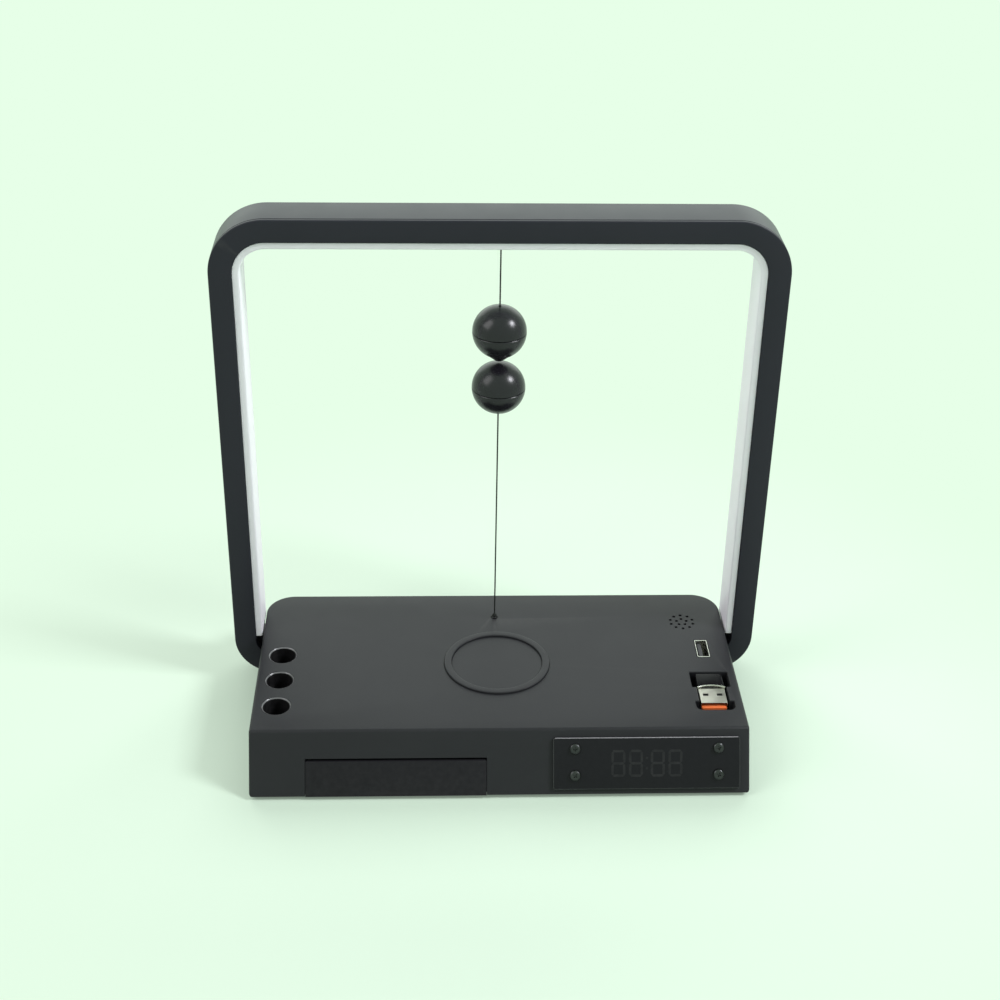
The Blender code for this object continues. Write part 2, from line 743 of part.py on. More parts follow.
def build_housing():
    """The moulded upper housing: shell, inner bosses and tubes, then every opening."""
    housing = base_solid('base_housing', 0.0, 0.0, base_bottom, base_top, LAMP)
    round_edges(housing, BASE_EDGE_ROUND)
    cut(housing, base_solid('housing_cavity', SIDE_WALL, FRONT_WALL, base_bottom - OVERRUN,
                            ceiling, TOOLS))

    solids = []
    for x, y in pen_places():
        solids.append(cylinder('pen_tube', pen_radius + PEN_TUBE_WALL, boss_foot, boss_root,
                               x, y, TOOLS, ROUND_STEPS))
    for x, y in cover_screw_places():
        solids.append(cylinder('cover_boss', COVER_BOSS_RADIUS, boss_foot, boss_root, x, y, TOOLS))
    for x, y in main_board_stake_places():
        solids.append(board_stake(boss_root, main_board_top, at(x, y, 0)))
    for x, y in inlet_board_stake_places():
        solids.append(board_stake(boss_root, inlet_board_top, at(x, y, 0)))
    for side in (-1, 1):
        solids.append(cylinder('frame_boss', FRAME_BOSS_RADIUS, bar_top + GAP, boss_root,
                               side * frame_screw_x, thread_y, TOOLS))
    pocket_front, _, _, pocket_back = pocket_levels()
    tub = POCKET_WIDTH / 2 + POCKET_WALL
    tub_low = (pocket_x - tub, pocket_front - POCKET_WALL, base_top - POCKET_DEPTH - POCKET_WALL)
    tub_high = (pocket_x + tub, pocket_back + POCKET_WALL, boss_root)
    solids.append(box_between('pocket_tub', tub_low, tub_high, TOOLS))
    fuse(housing, gather('housing_bosses', solids, TOOLS))

    panel_bosses = []
    boss_length = FRONT_WALL / 2 + PANEL_BOSS_LENGTH
    for x, down in panel_screw_places():
        boss = cylinder('panel_boss', PANEL_BOSS_RADIUS, 0.0, boss_length, 0.0, 0.0, TOOLS)
        boss.matrix_world = on_front(x, down, -FRONT_WALL / 2 - boss_length / 2)
        panel_bosses.append(boss)
    fuse(housing, gather('panel_bosses', panel_bosses, TOOLS))

    cuts = []
    for x, y in pen_places():
        rim = pen_radius + PEN_HOLE_CHAMFER
        profile = [(0.0, base_top + OVERRUN), (rim, base_top + OVERRUN), (rim, base_top),
                   (pen_radius, base_top - PEN_HOLE_CHAMFER),
                   (pen_radius, base_bottom - OVERRUN), (0.0, base_bottom - OVERRUN)]
        cuts.append(turned('pen_bore', profile, at(x, y, 0), TOOLS))
    for x, y in cover_screw_places():
        cuts.append(cylinder('cover_pilot', COVER_SCREW_RADIUS + SNUG, base_bottom,
                             base_bottom + COVER_SCREW_LENGTH + GAP, x, y, TOOLS, TINY_STEPS))
    for side in (-1, 1):
        cuts.append(cylinder('frame_pilot', FRAME_SCREW_RADIUS + SNUG, bar_top,
                             bar_top + GAP + FRAME_SCREW_BITE + GAP, side * frame_screw_x,
                             thread_y, TOOLS, TINY_STEPS))
    cuts.append(cylinder('thread_hole', THREAD_HOLE_RADIUS, ceiling - OVERRUN, base_top + OVERRUN,
                         0.0, thread_y, TOOLS))
    for count, circle in ((GRILLE_OUTER_HOLES, GRILLE_OUTER_CIRCLE),
                          (GRILLE_INNER_HOLES, GRILLE_INNER_CIRCLE)):
        for index in range(count):
            angle = math.pi / 2 + 2 * math.pi * index / count
            cuts.append(cylinder('grille_hole', GRILLE_HOLE_RADIUS, ceiling - OVERRUN,
                                 base_top + OVERRUN, sounder_x + circle * math.cos(angle),
                                 sounder_y + circle * math.sin(angle),
                                 TOOLS, TINY_STEPS))
    socket_slot = (SOCKET_WIDTH + 2 * SNUG, SOCKET_LENGTH + 2 * SNUG, TOP_WALL + 2 * OVERRUN)
    cuts.append(box('socket_slot', socket_slot, at(socket_x, socket_y,
                                                   base_top - TOP_WALL / 2), TOOLS))
    cuts += pocket_ends()
    ring_inner = RING_OUTER_RADIUS - RING_WIDTH - SNUG
    ring_outer = RING_OUTER_RADIUS + SNUG
    groove = [(ring_inner, base_top + OVERRUN), (ring_outer, base_top + OVERRUN),
              (ring_outer, base_top - RING_SEAT - GAP), (ring_inner, base_top - RING_SEAT - GAP)]
    cuts.append(turned('ring_groove', groove, at(0, ring_y, 0), TOOLS, FINE_STEPS, closed=True))
    cut(housing, gather('housing_openings', cuts, TOOLS))
    cut(housing, pocket_neck())

    cut(housing, front_openings())
    cut(housing, back_openings())
    cut(housing, frame_notch())
    return finish(housing, HOUSING_BLACK, 0.45)


def front_openings():
    """Drawer mouth, display window and panel screw holes in the slanted front."""
    through = 2 * (FRONT_WALL + OVERRUN)
    down_low = front_length + OVERRUN
    mouth_size = (drawer_left - DRAWER_RIGHT, down_low - drawer_down, through)
    mouth_x = -(drawer_left + DRAWER_RIGHT) / 2
    mouth = box('drawer_mouth', mouth_size, on_front(mouth_x, (down_low + drawer_down) / 2), TOOLS)
    window_size = (display_width + 2 * GAP, display_height + 2 * GAP, through)
    window = box('display_window', window_size,
                 on_front(panel_x, display_down + display_height / 2), TOOLS)
    shapes = [mouth, window]
    for x, down in panel_screw_places():
        hole = cylinder('panel_screw_hole', PANEL_SCREW_RADIUS + SNUG, 0.0,
                        2 * (FRONT_WALL + PANEL_BOSS_LENGTH + OVERRUN), 0.0, 0.0, TOOLS, TINY_STEPS)
        hole.matrix_world = on_front(x, down)
        shapes.append(hole)
    return gather('front_openings', shapes, TOOLS)


def back_openings():
    """Holes for the setting buttons and the power inlet in the back wall."""
    shapes = []
    depth = 2 * (SIDE_WALL + OVERRUN)
    for x in button_places():
        hole = cylinder('button_hole', BUTTON_RADIUS + GAP, 0.0, depth, 0.0, 0.0, TOOLS)
        hole.matrix_world = upright(x, back_y, base_top - BUTTON_DOWN)
        shapes.append(hole)
    outline = rounded_rectangle(INLET_WIDTH + 2 * SNUG, INLET_HEIGHT + 2 * SNUG,
                                INLET_HEIGHT / 2 - SNUG)
    shapes.append(plate('inlet_hole', [outline], depth, upright(inlet_x, back_y, inlet_middle()),
                        TOOLS))
    return gather('back_openings', shapes, TOOLS)


def inlet_middle():
    return inlet_board_top + GAP + INLET_HEIGHT / 2


def frame_notch():
    """The slot in both side walls that the frame drops into from below."""
    notch = frame_ring('frame_notch', -GAP, FRAME_BAR + GAP, frame_front_y - GAP,
                       frame_back_y + GAP, TOOLS)
    reach = frame_width / 2
    low = (-reach, frame_front_y - GAP, base_bottom - OVERRUN)
    high = (reach, frame_back_y + GAP, frame_low + FRAME_BAR / 2)
    fuse(notch, box_between('frame_notch_mouth', low, high, TOOLS))
    return notch


def build_bottom_cover():
    """The flat cover with the drawer's runners, two board posts and the wall-slot tabs."""
    cover = base_solid('bottom_cover', SIDE_WALL + GAP, FRONT_WALL + GAP, base_bottom, cover_top,
                       LAMP)
    root = base_bottom + COVER_THICKNESS / 2
    runner_front = front_top_y + RUNNER_FROM_FRONT
    runner_high = drawer_top() + DRAWER_HEADROOM / 2 + RUNNER_LIP_HEIGHT
    solids = []
    for inner, outward in ((-drawer_left, -1), (-DRAWER_RIGHT, 1)):
        outer = inner + outward * RUNNER_THICKNESS
        lip = inner - outward * RUNNER_LIP
        edges = sorted((inner, outer))
        solids.append(box_between('runner', (edges[0], runner_front, root),
                                  (edges[1], runner_back, runner_high), TOOLS))
        edges = sorted((outer, lip))
        solids.append(box_between('runner_lip', (edges[0], runner_front, runner_high - RUNNER_LIP_HEIGHT),
                                  (edges[1], runner_back, runner_high), TOOLS))
    ribs = solids[0]
    for other in solids[1:]:
        fuse(cover, other)
    fuse(cover, ribs)
    stop_low = (-drawer_left - RUNNER_THICKNESS, runner_back - RUNNER_STOP_LENGTH, root)
    stop_high = (-DRAWER_RIGHT + RUNNER_THICKNESS, runner_back, runner_high)
    fuse(cover, box_between('drawer_stop', stop_low, stop_high, TOOLS))
    others = []
    upside_down = Matrix.Rotation(math.pi, 4, 'X')
    for x, y in power_board_stake_places():
        others.append(board_stake(-root, -power_board_bottom, at(x, y, 0) @ upside_down))
    for side in (-1, 1):
        edges = sorted((side * half_width, side * (half_width - SIDE_WALL - OVERRUN)))
        others.append(box_between('slot_tab', (edges[0], frame_front_y, base_bottom),
                                  (edges[1], frame_back_y, cover_top), TOOLS))
    fuse(cover, gather('cover_posts', others, TOOLS))

    cuts = []
    for x, y in cover_screw_places():
        cuts.append(screw_seat(COVER_SCREW_RADIUS, COVER_SCREW_HEAD_RADIUS, x, y))
    for side in (-1, 1):
        cuts.append(screw_seat(FRAME_SCREW_RADIUS, COVER_SCREW_HEAD_RADIUS + SNUG,
                               side * frame_screw_x, thread_y))
    for x, y in foot_places():
        cuts.append(cylinder('foot_seat', FOOT_RADIUS + GAP, base_bottom - OVERRUN,
                             base_bottom + FOOT_SEAT + GAP, x, y, TOOLS, ROUND_STEPS))
    cut(cover, gather('cover_holes', cuts, TOOLS))
    return finish(cover, HOUSING_BLACK, 0.5)


def screw_seat(radius, head_radius, x, y):
    """A countersunk through hole in the bottom cover."""
    hole = radius + SNUG
    rim = head_radius + SNUG
    profile = [(0.0, cover_top + OVERRUN), (hole, cover_top + OVERRUN),
               (hole, base_bottom + rim - hole), (rim, base_bottom),
               (rim, base_bottom - OVERRUN), (0.0, base_bottom - OVERRUN)]
    return turned('screw_seat', profile, at(x, y, 0), TOOLS, TINY_STEPS)


def build_feet():
    high = base_bottom + FOOT_SEAT
    round_off = FOOT_PROUD / 3
    profile = [(0.0, high), (FOOT_RADIUS, high), (FOOT_RADIUS, round_off),
               (FOOT_RADIUS - round_off, 0.0), (0.0, 0.0)]
    for index, (x, y) in enumerate(foot_places(), start=1):
        foot = turned(f'rubber_foot_{index}', profile, at(x, y, 0), LAMP, SMALL_STEPS)
        finish(foot, RUBBER_BLACK, 0.8)


def build_cover_screws():
    profile = countersunk_screw(COVER_SCREW_RADIUS, COVER_SCREW_HEAD_RADIUS, COVER_SCREW_LENGTH)
    for index, (x, y) in enumerate(cover_screw_places(), start=1):
        screw = turned(f'cover_screw_{index}', profile, at(x, y, base_bottom), LAMP, TINY_STEPS)
        finish(screw, BRIGHT_STEEL, 0.3, 1.0)


def build_frame_screws():
    """Two long screws that pass through the cover and the frame's bar into the housing."""
    length = bar_top + GAP + FRAME_SCREW_BITE - base_bottom
    profile = countersunk_screw(FRAME_SCREW_RADIUS, COVER_SCREW_HEAD_RADIUS + SNUG, length)
    for name, side in (('frame_screw_left', -1), ('frame_screw_right', 1)):
        place = at(side * frame_screw_x, thread_y, base_bottom)
        finish(turned(name, profile, place, LAMP, TINY_STEPS), BRIGHT_STEEL, 0.3, 1.0)


def build_frame_channel():
    """The rear channel of the frame, open towards the window along the light strip."""
    channel = frame_ring('frame_channel', 0.0, FRAME_BAR, channel_front_y, frame_back_y, LAMP)
    weld = channel.modifiers.new('Weld', 'WELD')
    weld.merge_threshold = WELD
    round_edges(channel, CHANNEL_EDGE_ROUND)
    groove = frame_ring('light_groove', CHANNEL_WALL, FRAME_BAR + OVERRUN,
                        channel_front_y - OVERRUN, frame_back_y - CHANNEL_WALL, TOOLS)
    cut_plane(groove, (0.0, 0.0, light_end), (0.0, 0.0, -1.0))
    cut(channel, groove)
    holes = [cylinder('frame_screw_hole', FRAME_SCREW_RADIUS + GAP, frame_low - OVERRUN,
                      bar_top + OVERRUN, side * frame_screw_x, thread_y, TOOLS)
             for side in (-1, 1)]
    cut(channel, gather('frame_screw_holes', holes, TOOLS))
    return finish(channel, FRAME_BLACK, 0.4)


def build_frame_front_cover():
    cover = frame_ring('frame_front_cover', 0.0, FRAME_BAR, frame_front_y,
                       frame_front_y + FRONT_COVER_THICKNESS, LAMP)
    round_edges(cover, FRONT_COVER_CHAMFER, 1)
    return finish(cover, FRAME_BLACK, 0.4)


def build_diffuser():
    """The white strip that closes the channel along both legs and the top."""
    diffuser = frame_ring('frame_diffuser', FRAME_BAR + DIFFUSER_PROUD - DIFFUSER_THICKNESS,
                          FRAME_BAR + DIFFUSER_PROUD, channel_front_y,
                          frame_back_y - CHANNEL_WALL - GAP, LAMP)
    cut_plane(diffuser, (0.0, 0.0, light_end + GAP), (0.0, 0.0, -1.0))
    round_edges(diffuser, DIFFUSER_EDGE_ROUND, 1)
    cut(diffuser, cylinder('diffuser_hole', POST_RADIUS + GAP, diffuser_face - OVERRUN,
                           frame_high - FRAME_BAR + OVERRUN, 0.0, thread_y, TOOLS))
    return finish(diffuser, DIFFUSER_WHITE, 0.35)


def build_led_strip():
    """The light strip with its row of chips along both legs and the top."""
    strip = frame_ring('led_strip', CHANNEL_WALL + GAP, CHANNEL_WALL + GAP + STRIP_THICKNESS,
                       thread_y - STRIP_WIDTH / 2, thread_y + STRIP_WIDTH / 2, LAMP)
    cut_plane(strip, (0.0, 0.0, light_end + OVERRUN), (0.0, 0.0, -1.0))
    height = STRIP_THICKNESS / 2 + CHIP_HEIGHT
    inset = CHANNEL_WALL + GAP + STRIP_THICKNESS / 2 + height / 2
    side_x = frame_width / 2 - inset
    top_z = frame_high - inset
    leg_low = light_end + FRAME_CORNER_RADIUS / 2
    leg_high = frame_high - FRAME_CORNER_RADIUS
    reach = frame_width / 2 - FRAME_CORNER_RADIUS
    chips = []
    for index in range(CHIPS_PER_LEG):
        z = leg_low + (leg_high - leg_low) * index / (CHIPS_PER_LEG - 1)
        for side in (-1, 1):
            chips.append(box('chip', (height, CHIP_SIZE, CHIP_SIZE),
                             at(side * side_x, thread_y, z), TOOLS))
    for index in range(CHIPS_ON_TOP):
        x = -reach + 2 * reach * index / (CHIPS_ON_TOP - 1)
        chips.append(box('chip', (CHIP_SIZE, CHIP_SIZE, height), at(x, thread_y, top_z), TOOLS))
    fuse(strip, gather('led_chips', chips, TOOLS))
    cut(strip, cylinder('strip_hole', POST_RADIUS + GAP, frame_high - FRAME_BAR, frame_high, 0.0,
                        thread_y, TOOLS))
    return finish(strip, DIFFUSER_WHITE, 0.5)


def build_upper_post():
    """The white post in the frame's top that the upper thread hangs from."""
    top = frame_high - CHANNEL_WALL - GAP
    profile = [(0.0, top), (POST_RADIUS, top), (POST_RADIUS, diffuser_face),
               (THREAD_HOLE_RADIUS, diffuser_face),
               (THREAD_HOLE_RADIUS, diffuser_face + POST_BORE_DEPTH),
               (0.0, diffuser_face + POST_BORE_DEPTH)]
    post = turned('upper_thread_post', profile, at(0, thread_y, 0), LAMP, SMALL_STEPS)
    return finish(post, DIFFUSER_WHITE, 0.4)


def build_charging_ring():
    """The raised ring round the charging spot, seated in a groove of the top."""
    inner = RING_OUTER_RADIUS - RING_WIDTH
    low = base_top - RING_SEAT
    high = base_top + RING_PROUD
    corner = RING_EDGE_ROUND
    profile = [(inner, low), (inner, high - corner), (inner + corner, high),
               (RING_OUTER_RADIUS - corner, high), (RING_OUTER_RADIUS, high - corner),
               (RING_OUTER_RADIUS, low)]
    ring = turned('charging_ring', profile, at(0, ring_y, 0), LAMP, FINE_STEPS, closed=True)
    return finish(ring, HOUSING_BLACK, 0.35)


def coil_points():
    """Centre line of the charging coil: a flat spiral with both ends turned down."""
    level = ceiling - GAP - COIL_WIRE_RADIUS
    count = COIL_TURNS * COIL_STEPS
    points = []
    for step in range(count + 1):
        angle = 2 * math.pi * step / COIL_STEPS
        radius = COIL_INNER_RADIUS + COIL_PITCH * step / COIL_STEPS
        points.append(Vector((radius * math.cos(angle), ring_y + radius * math.sin(angle), level)))
    inner = FERRITE_BORE_RADIUS - GAP - COIL_WIRE_RADIUS
    outer = FERRITE_RADIUS + GAP + COIL_WIRE_RADIUS
    low = level - COIL_LEAD
    start = [Vector((inner, ring_y, low)), Vector((inner, ring_y, level))]
    end = [Vector((outer, ring_y + COIL_PITCH, level)), Vector((outer, ring_y + COIL_PITCH, low))]
    return start + points + end


def least_gap(points, radius):
    """Least clear distance between stretches of a tube that are half a loop apart."""
    apart = COIL_STEPS // 2
    least = math.inf
    for index, point in enumerate(points):
        for other in points[index + apart:]:
            least = min(least, (point - other).length)
    return least - 2 * radius


def build_coil():
    points = coil_points()
    print('charging coil least gap to itself, m:', round(least_gap(points, COIL_WIRE_RADIUS), 6))
    curve = bpy.data.curves.new('charging_coil', 'CURVE')
    curve.dimensions = '3D'
    curve.bevel_depth = COIL_WIRE_RADIUS
    curve.bevel_resolution = 1
    curve.use_fill_caps = True
    spline = curve.splines.new('POLY')
    spline.points.add(len(points) - 1)
    for target, point in zip(spline.points, points):
        target.co = (point.x, point.y - ring_y, point.z, 1.0)
    coil = mesh_from_curve('charging_coil', curve, at(0, ring_y, 0), LAMP)
    return finish(coil, COPPER, 0.35, 1.0)


def build_ferrite():
    high = ceiling - GAP - 2 * COIL_WIRE_RADIUS - GAP
    low = high - FERRITE_THICKNESS
    profile = [(FERRITE_BORE_RADIUS, high), (FERRITE_RADIUS, high), (FERRITE_RADIUS, low),
               (FERRITE_BORE_RADIUS, low)]
    ferrite = turned('coil_ferrite', profile, at(0, ring_y, 0), LAMP, ROUND_STEPS, closed=True)
    return finish(ferrite, FERRITE_GREY, 0.7)


def build_boards():
    """The main board under the coil, the inlet's board and the socket's board."""
    left, right, front, back = main_board_edges()
    board_with_holes('main_circuit_board', (left, front, main_board_top - BOARD_THICKNESS),
                     (right, back, main_board_top), main_board_stake_places())

    half = INLET_BOARD_WIDTH / 2
    front = frame_front_y - INLET_BOARD_BEFORE_FRAME
    low = (inlet_x - half, front, inlet_board_top - BOARD_THICKNESS)
    high = (inlet_x + half, back_inner_y - INLET_BOARD_BACK_GAP, inlet_board_top)
    board_with_holes('inlet_board', low, high, inlet_board_stake_places())

    left, right, front, back = power_board_edges()
    board_with_holes('power_board', (left, front, power_board_bottom),
                     (right, back, power_board_top), power_board_stake_places())


def build_sounder():
    high = ceiling - GAP
    low = high - SOUNDER_HEIGHT
    step = SOUNDER_RADIUS / 4
    profile = [(0.0, high - step / 2), (SOUNDER_RADIUS - step, high - step / 2),
               (SOUNDER_RADIUS - step, high), (SOUNDER_RADIUS, high), (SOUNDER_RADIUS, low),
               (0.0, low)]
    place = at(sounder_x, sounder_y, 0)
    return finish(turned('sounder', profile, place, LAMP, ROUND_STEPS), RUBBER_BLACK, 0.5)


def build_socket():
    """The upright socket: a folded metal shell with a floor, and its tongue."""
    y = socket_y
    shell = box('socket_shell', (SOCKET_WIDTH, SOCKET_LENGTH, SOCKET_DEPTH),
                at(socket_x, y, base_top - SOCKET_DEPTH / 2), LAMP)
    inner_depth = SOCKET_DEPTH - SOCKET_FLOOR + OVERRUN
    inner_size = (SOCKET_WIDTH - 2 * SOCKET_SHEET, SOCKET_LENGTH - 2 * SOCKET_SHEET, inner_depth)
    inner_z = socket_bottom + SOCKET_FLOOR + inner_depth / 2
    cut(shell, box('socket_hollow', inner_size, at(socket_x, y, inner_z), TOOLS))
    finish(shell, BRIGHT_STEEL, 0.25, 1.0)
    tongue_low = socket_bottom + SOCKET_FLOOR + GAP
    tongue_high = base_top - SOCKET_TONGUE_SINK
    tongue_size = (SOCKET_TONGUE_THICKNESS, SOCKET_LENGTH - 2 * SOCKET_SHEET -
                   2 * SOCKET_TONGUE_MARGIN, tongue_high - tongue_low)
    tongue_x = socket_x - SOCKET_TONGUE_OFFSET
    tongue = box('socket_tongue', tongue_size, at(tongue_x, y, (tongue_low + tongue_high) / 2),
                 LAMP)
    finish(tongue, TONGUE_GREY, 0.4)


def build_power_inlet():
    """The power inlet in the back wall, on its own board."""
    back = back_y - INLET_SINK
    matrix = upright(inlet_x, back - INLET_LENGTH / 2, inlet_middle())
    outer = rounded_rectangle(INLET_WIDTH, INLET_HEIGHT, INLET_HEIGHT / 2 - SNUG)
    inner = rounded_rectangle(INLET_WIDTH - 2 * INLET_SHEET, INLET_HEIGHT - 2 * INLET_SHEET,
                              INLET_HEIGHT / 2 - SNUG - INLET_SHEET)
    shell = plate('power_inlet', [outer], INLET_LENGTH, matrix, LAMP)
    hollow_length = INLET_LENGTH - INLET_FLOOR + OVERRUN
    hollow_y = back + OVERRUN - hollow_length / 2
    cut(shell, plate('inlet_hollow', [inner], hollow_length,
                     upright(inlet_x, hollow_y, inlet_middle()), TOOLS))
    finish(shell, BRIGHT_STEEL, 0.25, 1.0)
    tongue_back = back - INLET_TONGUE_SINK
    tongue_front = back + OVERRUN - hollow_length + SNUG
    tongue = box('power_inlet_tongue', (INLET_TONGUE_WIDTH, tongue_back - tongue_front,
                                        INLET_TONGUE_HEIGHT),
                 at(inlet_x, (tongue_back + tongue_front) / 2, inlet_middle()), LAMP)
    finish(tongue, RUBBER_BLACK, 0.4)


def build_clock():
    """The screwed-on clock panel, and the display and board behind it."""
    level = SNUG + PANEL_THICKNESS / 2
    outline = rounded_rectangle(panel_width, panel_height, PANEL_CORNER_RADIUS)
    panel = plate('clock_panel', [outline], PANEL_THICKNESS,
                  on_front(panel_x, panel_down + panel_height / 2, level), LAMP)
    round_edges(panel, PANEL_EDGE_ROUND, 1)
    holes = []
    for x, down in panel_screw_places():
        hole = cylinder('panel_hole', PANEL_SCREW_RADIUS + SNUG, 0.0, PANEL_THICKNESS + OVERRUN,
                        0.0, 0.0, TOOLS, TINY_STEPS)
        hole.matrix_world = on_front(x, down, level)
        holes.append(hole)
    cut(panel, gather('panel_holes', holes, TOOLS))
    finish(panel, SMOKED_GLOSS, 0.08)

    display_out = -SNUG
    display = box('clock_display', (display_width, display_height, DISPLAY_DEPTH),
                  on_front(panel_x, display_down + display_height / 2,
                           display_out - DISPLAY_DEPTH / 2), LAMP)
    face_size = (display_width - 2 * DIGIT_MARGIN, display_height - 2 * DIGIT_MARGIN,
                 2 * DIGIT_SINK)
    cut(display, box('digit_face', face_size, on_front(panel_x, display_down + display_height / 2,
                                                       display_out), TOOLS))
    finish(display, RUBBER_BLACK, 0.4)

    board_out = -max(FRONT_WALL + PANEL_BOSS_LENGTH, SNUG + DISPLAY_DEPTH) - GAP
    board_width = panel_width - 2 * PANEL_SCREW_INSET + CLOCK_BOARD_MARGIN
    board_down = panel_screw_down + panel_screw_pitch / 2 - CLOCK_BOARD_RISE
    board_level = board_out - CLOCK_BOARD_THICKNESS / 2
    board = box('clock_board', (board_width, clock_board_height, CLOCK_BOARD_THICKNESS),
                on_front(panel_x, board_down, board_level), LAMP)
    board_holes = []
    for x, down in panel_screw_places():
        hole = cylinder('clock_board_hole', PANEL_SCREW_RADIUS + SNUG, 0.0,
                        CLOCK_BOARD_THICKNESS + OVERRUN, 0.0, 0.0, TOOLS, TINY_STEPS)
        hole.matrix_world = on_front(x, down, board_level)
        board_holes.append(hole)
    cut(board, gather('clock_board_holes', board_holes, TOOLS))
    finish(board, BOARD_GREEN, 0.5)

    seat = SNUG + PANEL_THICKNESS + SNUG
    length = seat - board_out + CLOCK_BOARD_THICKNESS + GAP
    profile = pan_screw(PANEL_SCREW_RADIUS, PANEL_SCREW_HEAD_RADIUS, PANEL_SCREW_HEAD_HEIGHT, length)
    inwards = Matrix.Rotation(math.pi, 4, 'X')
    for index, (x, down) in enumerate(panel_screw_places(), start=1):
        place = on_front(x, down, seat) @ inwards
        screw = turned(f'clock_panel_screw_{index}', profile, place, LAMP, SMALL_STEPS)
        finish(screw, BRIGHT_STEEL, 0.3, 1.0)


def build_button_board():
    middle_y = button_stem_end() - BUTTON_TRAVEL - GAP - BUTTON_BOARD_THICKNESS / 2
    board = box('button_board', (BUTTON_BOARD_WIDTH, BUTTON_BOARD_THICKNESS, BUTTON_BOARD_HEIGHT),
                at(-button_x, middle_y, ceiling - GAP - BUTTON_BOARD_HEIGHT / 2), LAMP)
    return finish(board, BOARD_GREEN, 0.5)


def button_stem_end():
    return back_inner_y - GAP - BUTTON_FLANGE_HEIGHT - BUTTON_STEM_LENGTH


def build_buttons():
    """Three setting buttons for the clock, each held behind the wall by its flange."""
    face = back_y - BUTTON_SINK
    flange_back = back_inner_y - GAP
    origin_y = flange_back
    cap = face - origin_y
    profile = [(0.0, cap), (BUTTON_RADIUS, cap), (BUTTON_RADIUS, 0.0), (BUTTON_FLANGE_RADIUS, 0.0),
               (BUTTON_FLANGE_RADIUS, -BUTTON_FLANGE_HEIGHT),
               (BUTTON_STEM_RADIUS, -BUTTON_FLANGE_HEIGHT),
               (BUTTON_STEM_RADIUS, -BUTTON_FLANGE_HEIGHT - BUTTON_STEM_LENGTH),
               (0.0, -BUTTON_FLANGE_HEIGHT - BUTTON_STEM_LENGTH)]
    for name, x in zip(('button_up', 'button_mode', 'button_down'), button_places()):
        matrix = at(x, origin_y, base_top - BUTTON_DOWN) @ Matrix.Rotation(-math.pi / 2, 4, 'X')
        finish(turned(name, profile, matrix, LAMP, SMALL_STEPS), RUBBER_BLACK, 0.5)


def build_pull_switch():
    """The switch under the lower thread's hole: a fixed body and a plunger."""
    top = ceiling - GAP
    half_width = SWITCH_BODY_WIDTH / 2
    half_depth = SWITCH_BODY_DEPTH / 2
    body = box_between('pull_switch_body', (-half_width, thread_y - half_depth,
                                            top - switch_height),
                       (half_width, thread_y + half_depth, top), LAMP)
    bore = cylinder('plunger_bore', PLUNGER_RADIUS + GAP, top - switch_height,
                    top + OVERRUN, 0.0, thread_y, TOOLS)
    cut(body, bore)
    room_low = flange_top - PLUNGER_FLANGE_HEIGHT - SWITCH_TRAVEL - GAP
    room = cylinder('flange_room', PLUNGER_FLANGE_RADIUS + GAP, room_low, top - SWITCH_ROOF, 0.0,
                    thread_y, TOOLS)
    cut(body, room)
    finish(body, RUBBER_BLACK, 0.5)

    rod_top = lower_pivot - swivel_sweep - ROD_TO_SWIVEL
    flange_low = flange_top - PLUNGER_FLANGE_HEIGHT
    profile = [(0.0, rod_top), (PLUNGER_RADIUS, rod_top), (PLUNGER_RADIUS, flange_top),
               (PLUNGER_FLANGE_RADIUS, flange_top), (PLUNGER_FLANGE_RADIUS, flange_low),
               (PLUNGER_RADIUS, flange_low), (PLUNGER_RADIUS, flange_low - PLUNGER_TAIL),
               (0.0, flange_low - PLUNGER_TAIL)]
    profile = [(radius, height - lower_pivot) for radius, height in profile]
    plunger = turned('pull_switch_plunger', profile, at(0, thread_y, lower_pivot), LAMP,
                     SMALL_STEPS)
    finish(plunger, MAGNET_NICKEL, 0.4, 1.0)


def build_swivel(name, level):
    """A tiny gimbal ring round the end of a thread, on both swing axes."""
    half = SWIVEL_HEIGHT / 2
    profile = [(SWIVEL_BORE_RADIUS, half), (SWIVEL_OUTER_RADIUS, half),
               (SWIVEL_OUTER_RADIUS, -half), (SWIVEL_BORE_RADIUS, -half)]
    ring = turned(name, profile, at(0, thread_y, level), LAMP, SMALL_STEPS, closed=True)
    return finish(ring, THREAD_BLACK, 0.6)


def build_thread(name, pivot, ball_z, side):
    """A taut thread from its pivot into a ball; side is -1 where the ball hangs below."""
    length = abs(ball_z - pivot) - knot_offset
    neck = math.sqrt(THREAD_HEAD_RADIUS ** 2 - THREAD_RADIUS ** 2)
    knot_neck = math.sqrt(KNOT_RADIUS ** 2 - THREAD_RADIUS ** 2)
    profile = [(0.0, THREAD_HEAD_RADIUS), (THREAD_HEAD_RADIUS, 0.0), (THREAD_RADIUS, -neck),
               (THREAD_RADIUS, -length + knot_neck), (KNOT_RADIUS, -length),
               (0.0, -length - KNOT_RADIUS)]
    if side > 0:
        profile = [(radius, -height) for radius, height in reversed(profile)]
    thread = turned(name, profile, at(0, thread_y, pivot), LAMP, TINY_STEPS)
    return finish(thread, THREAD_BLACK, 0.7)


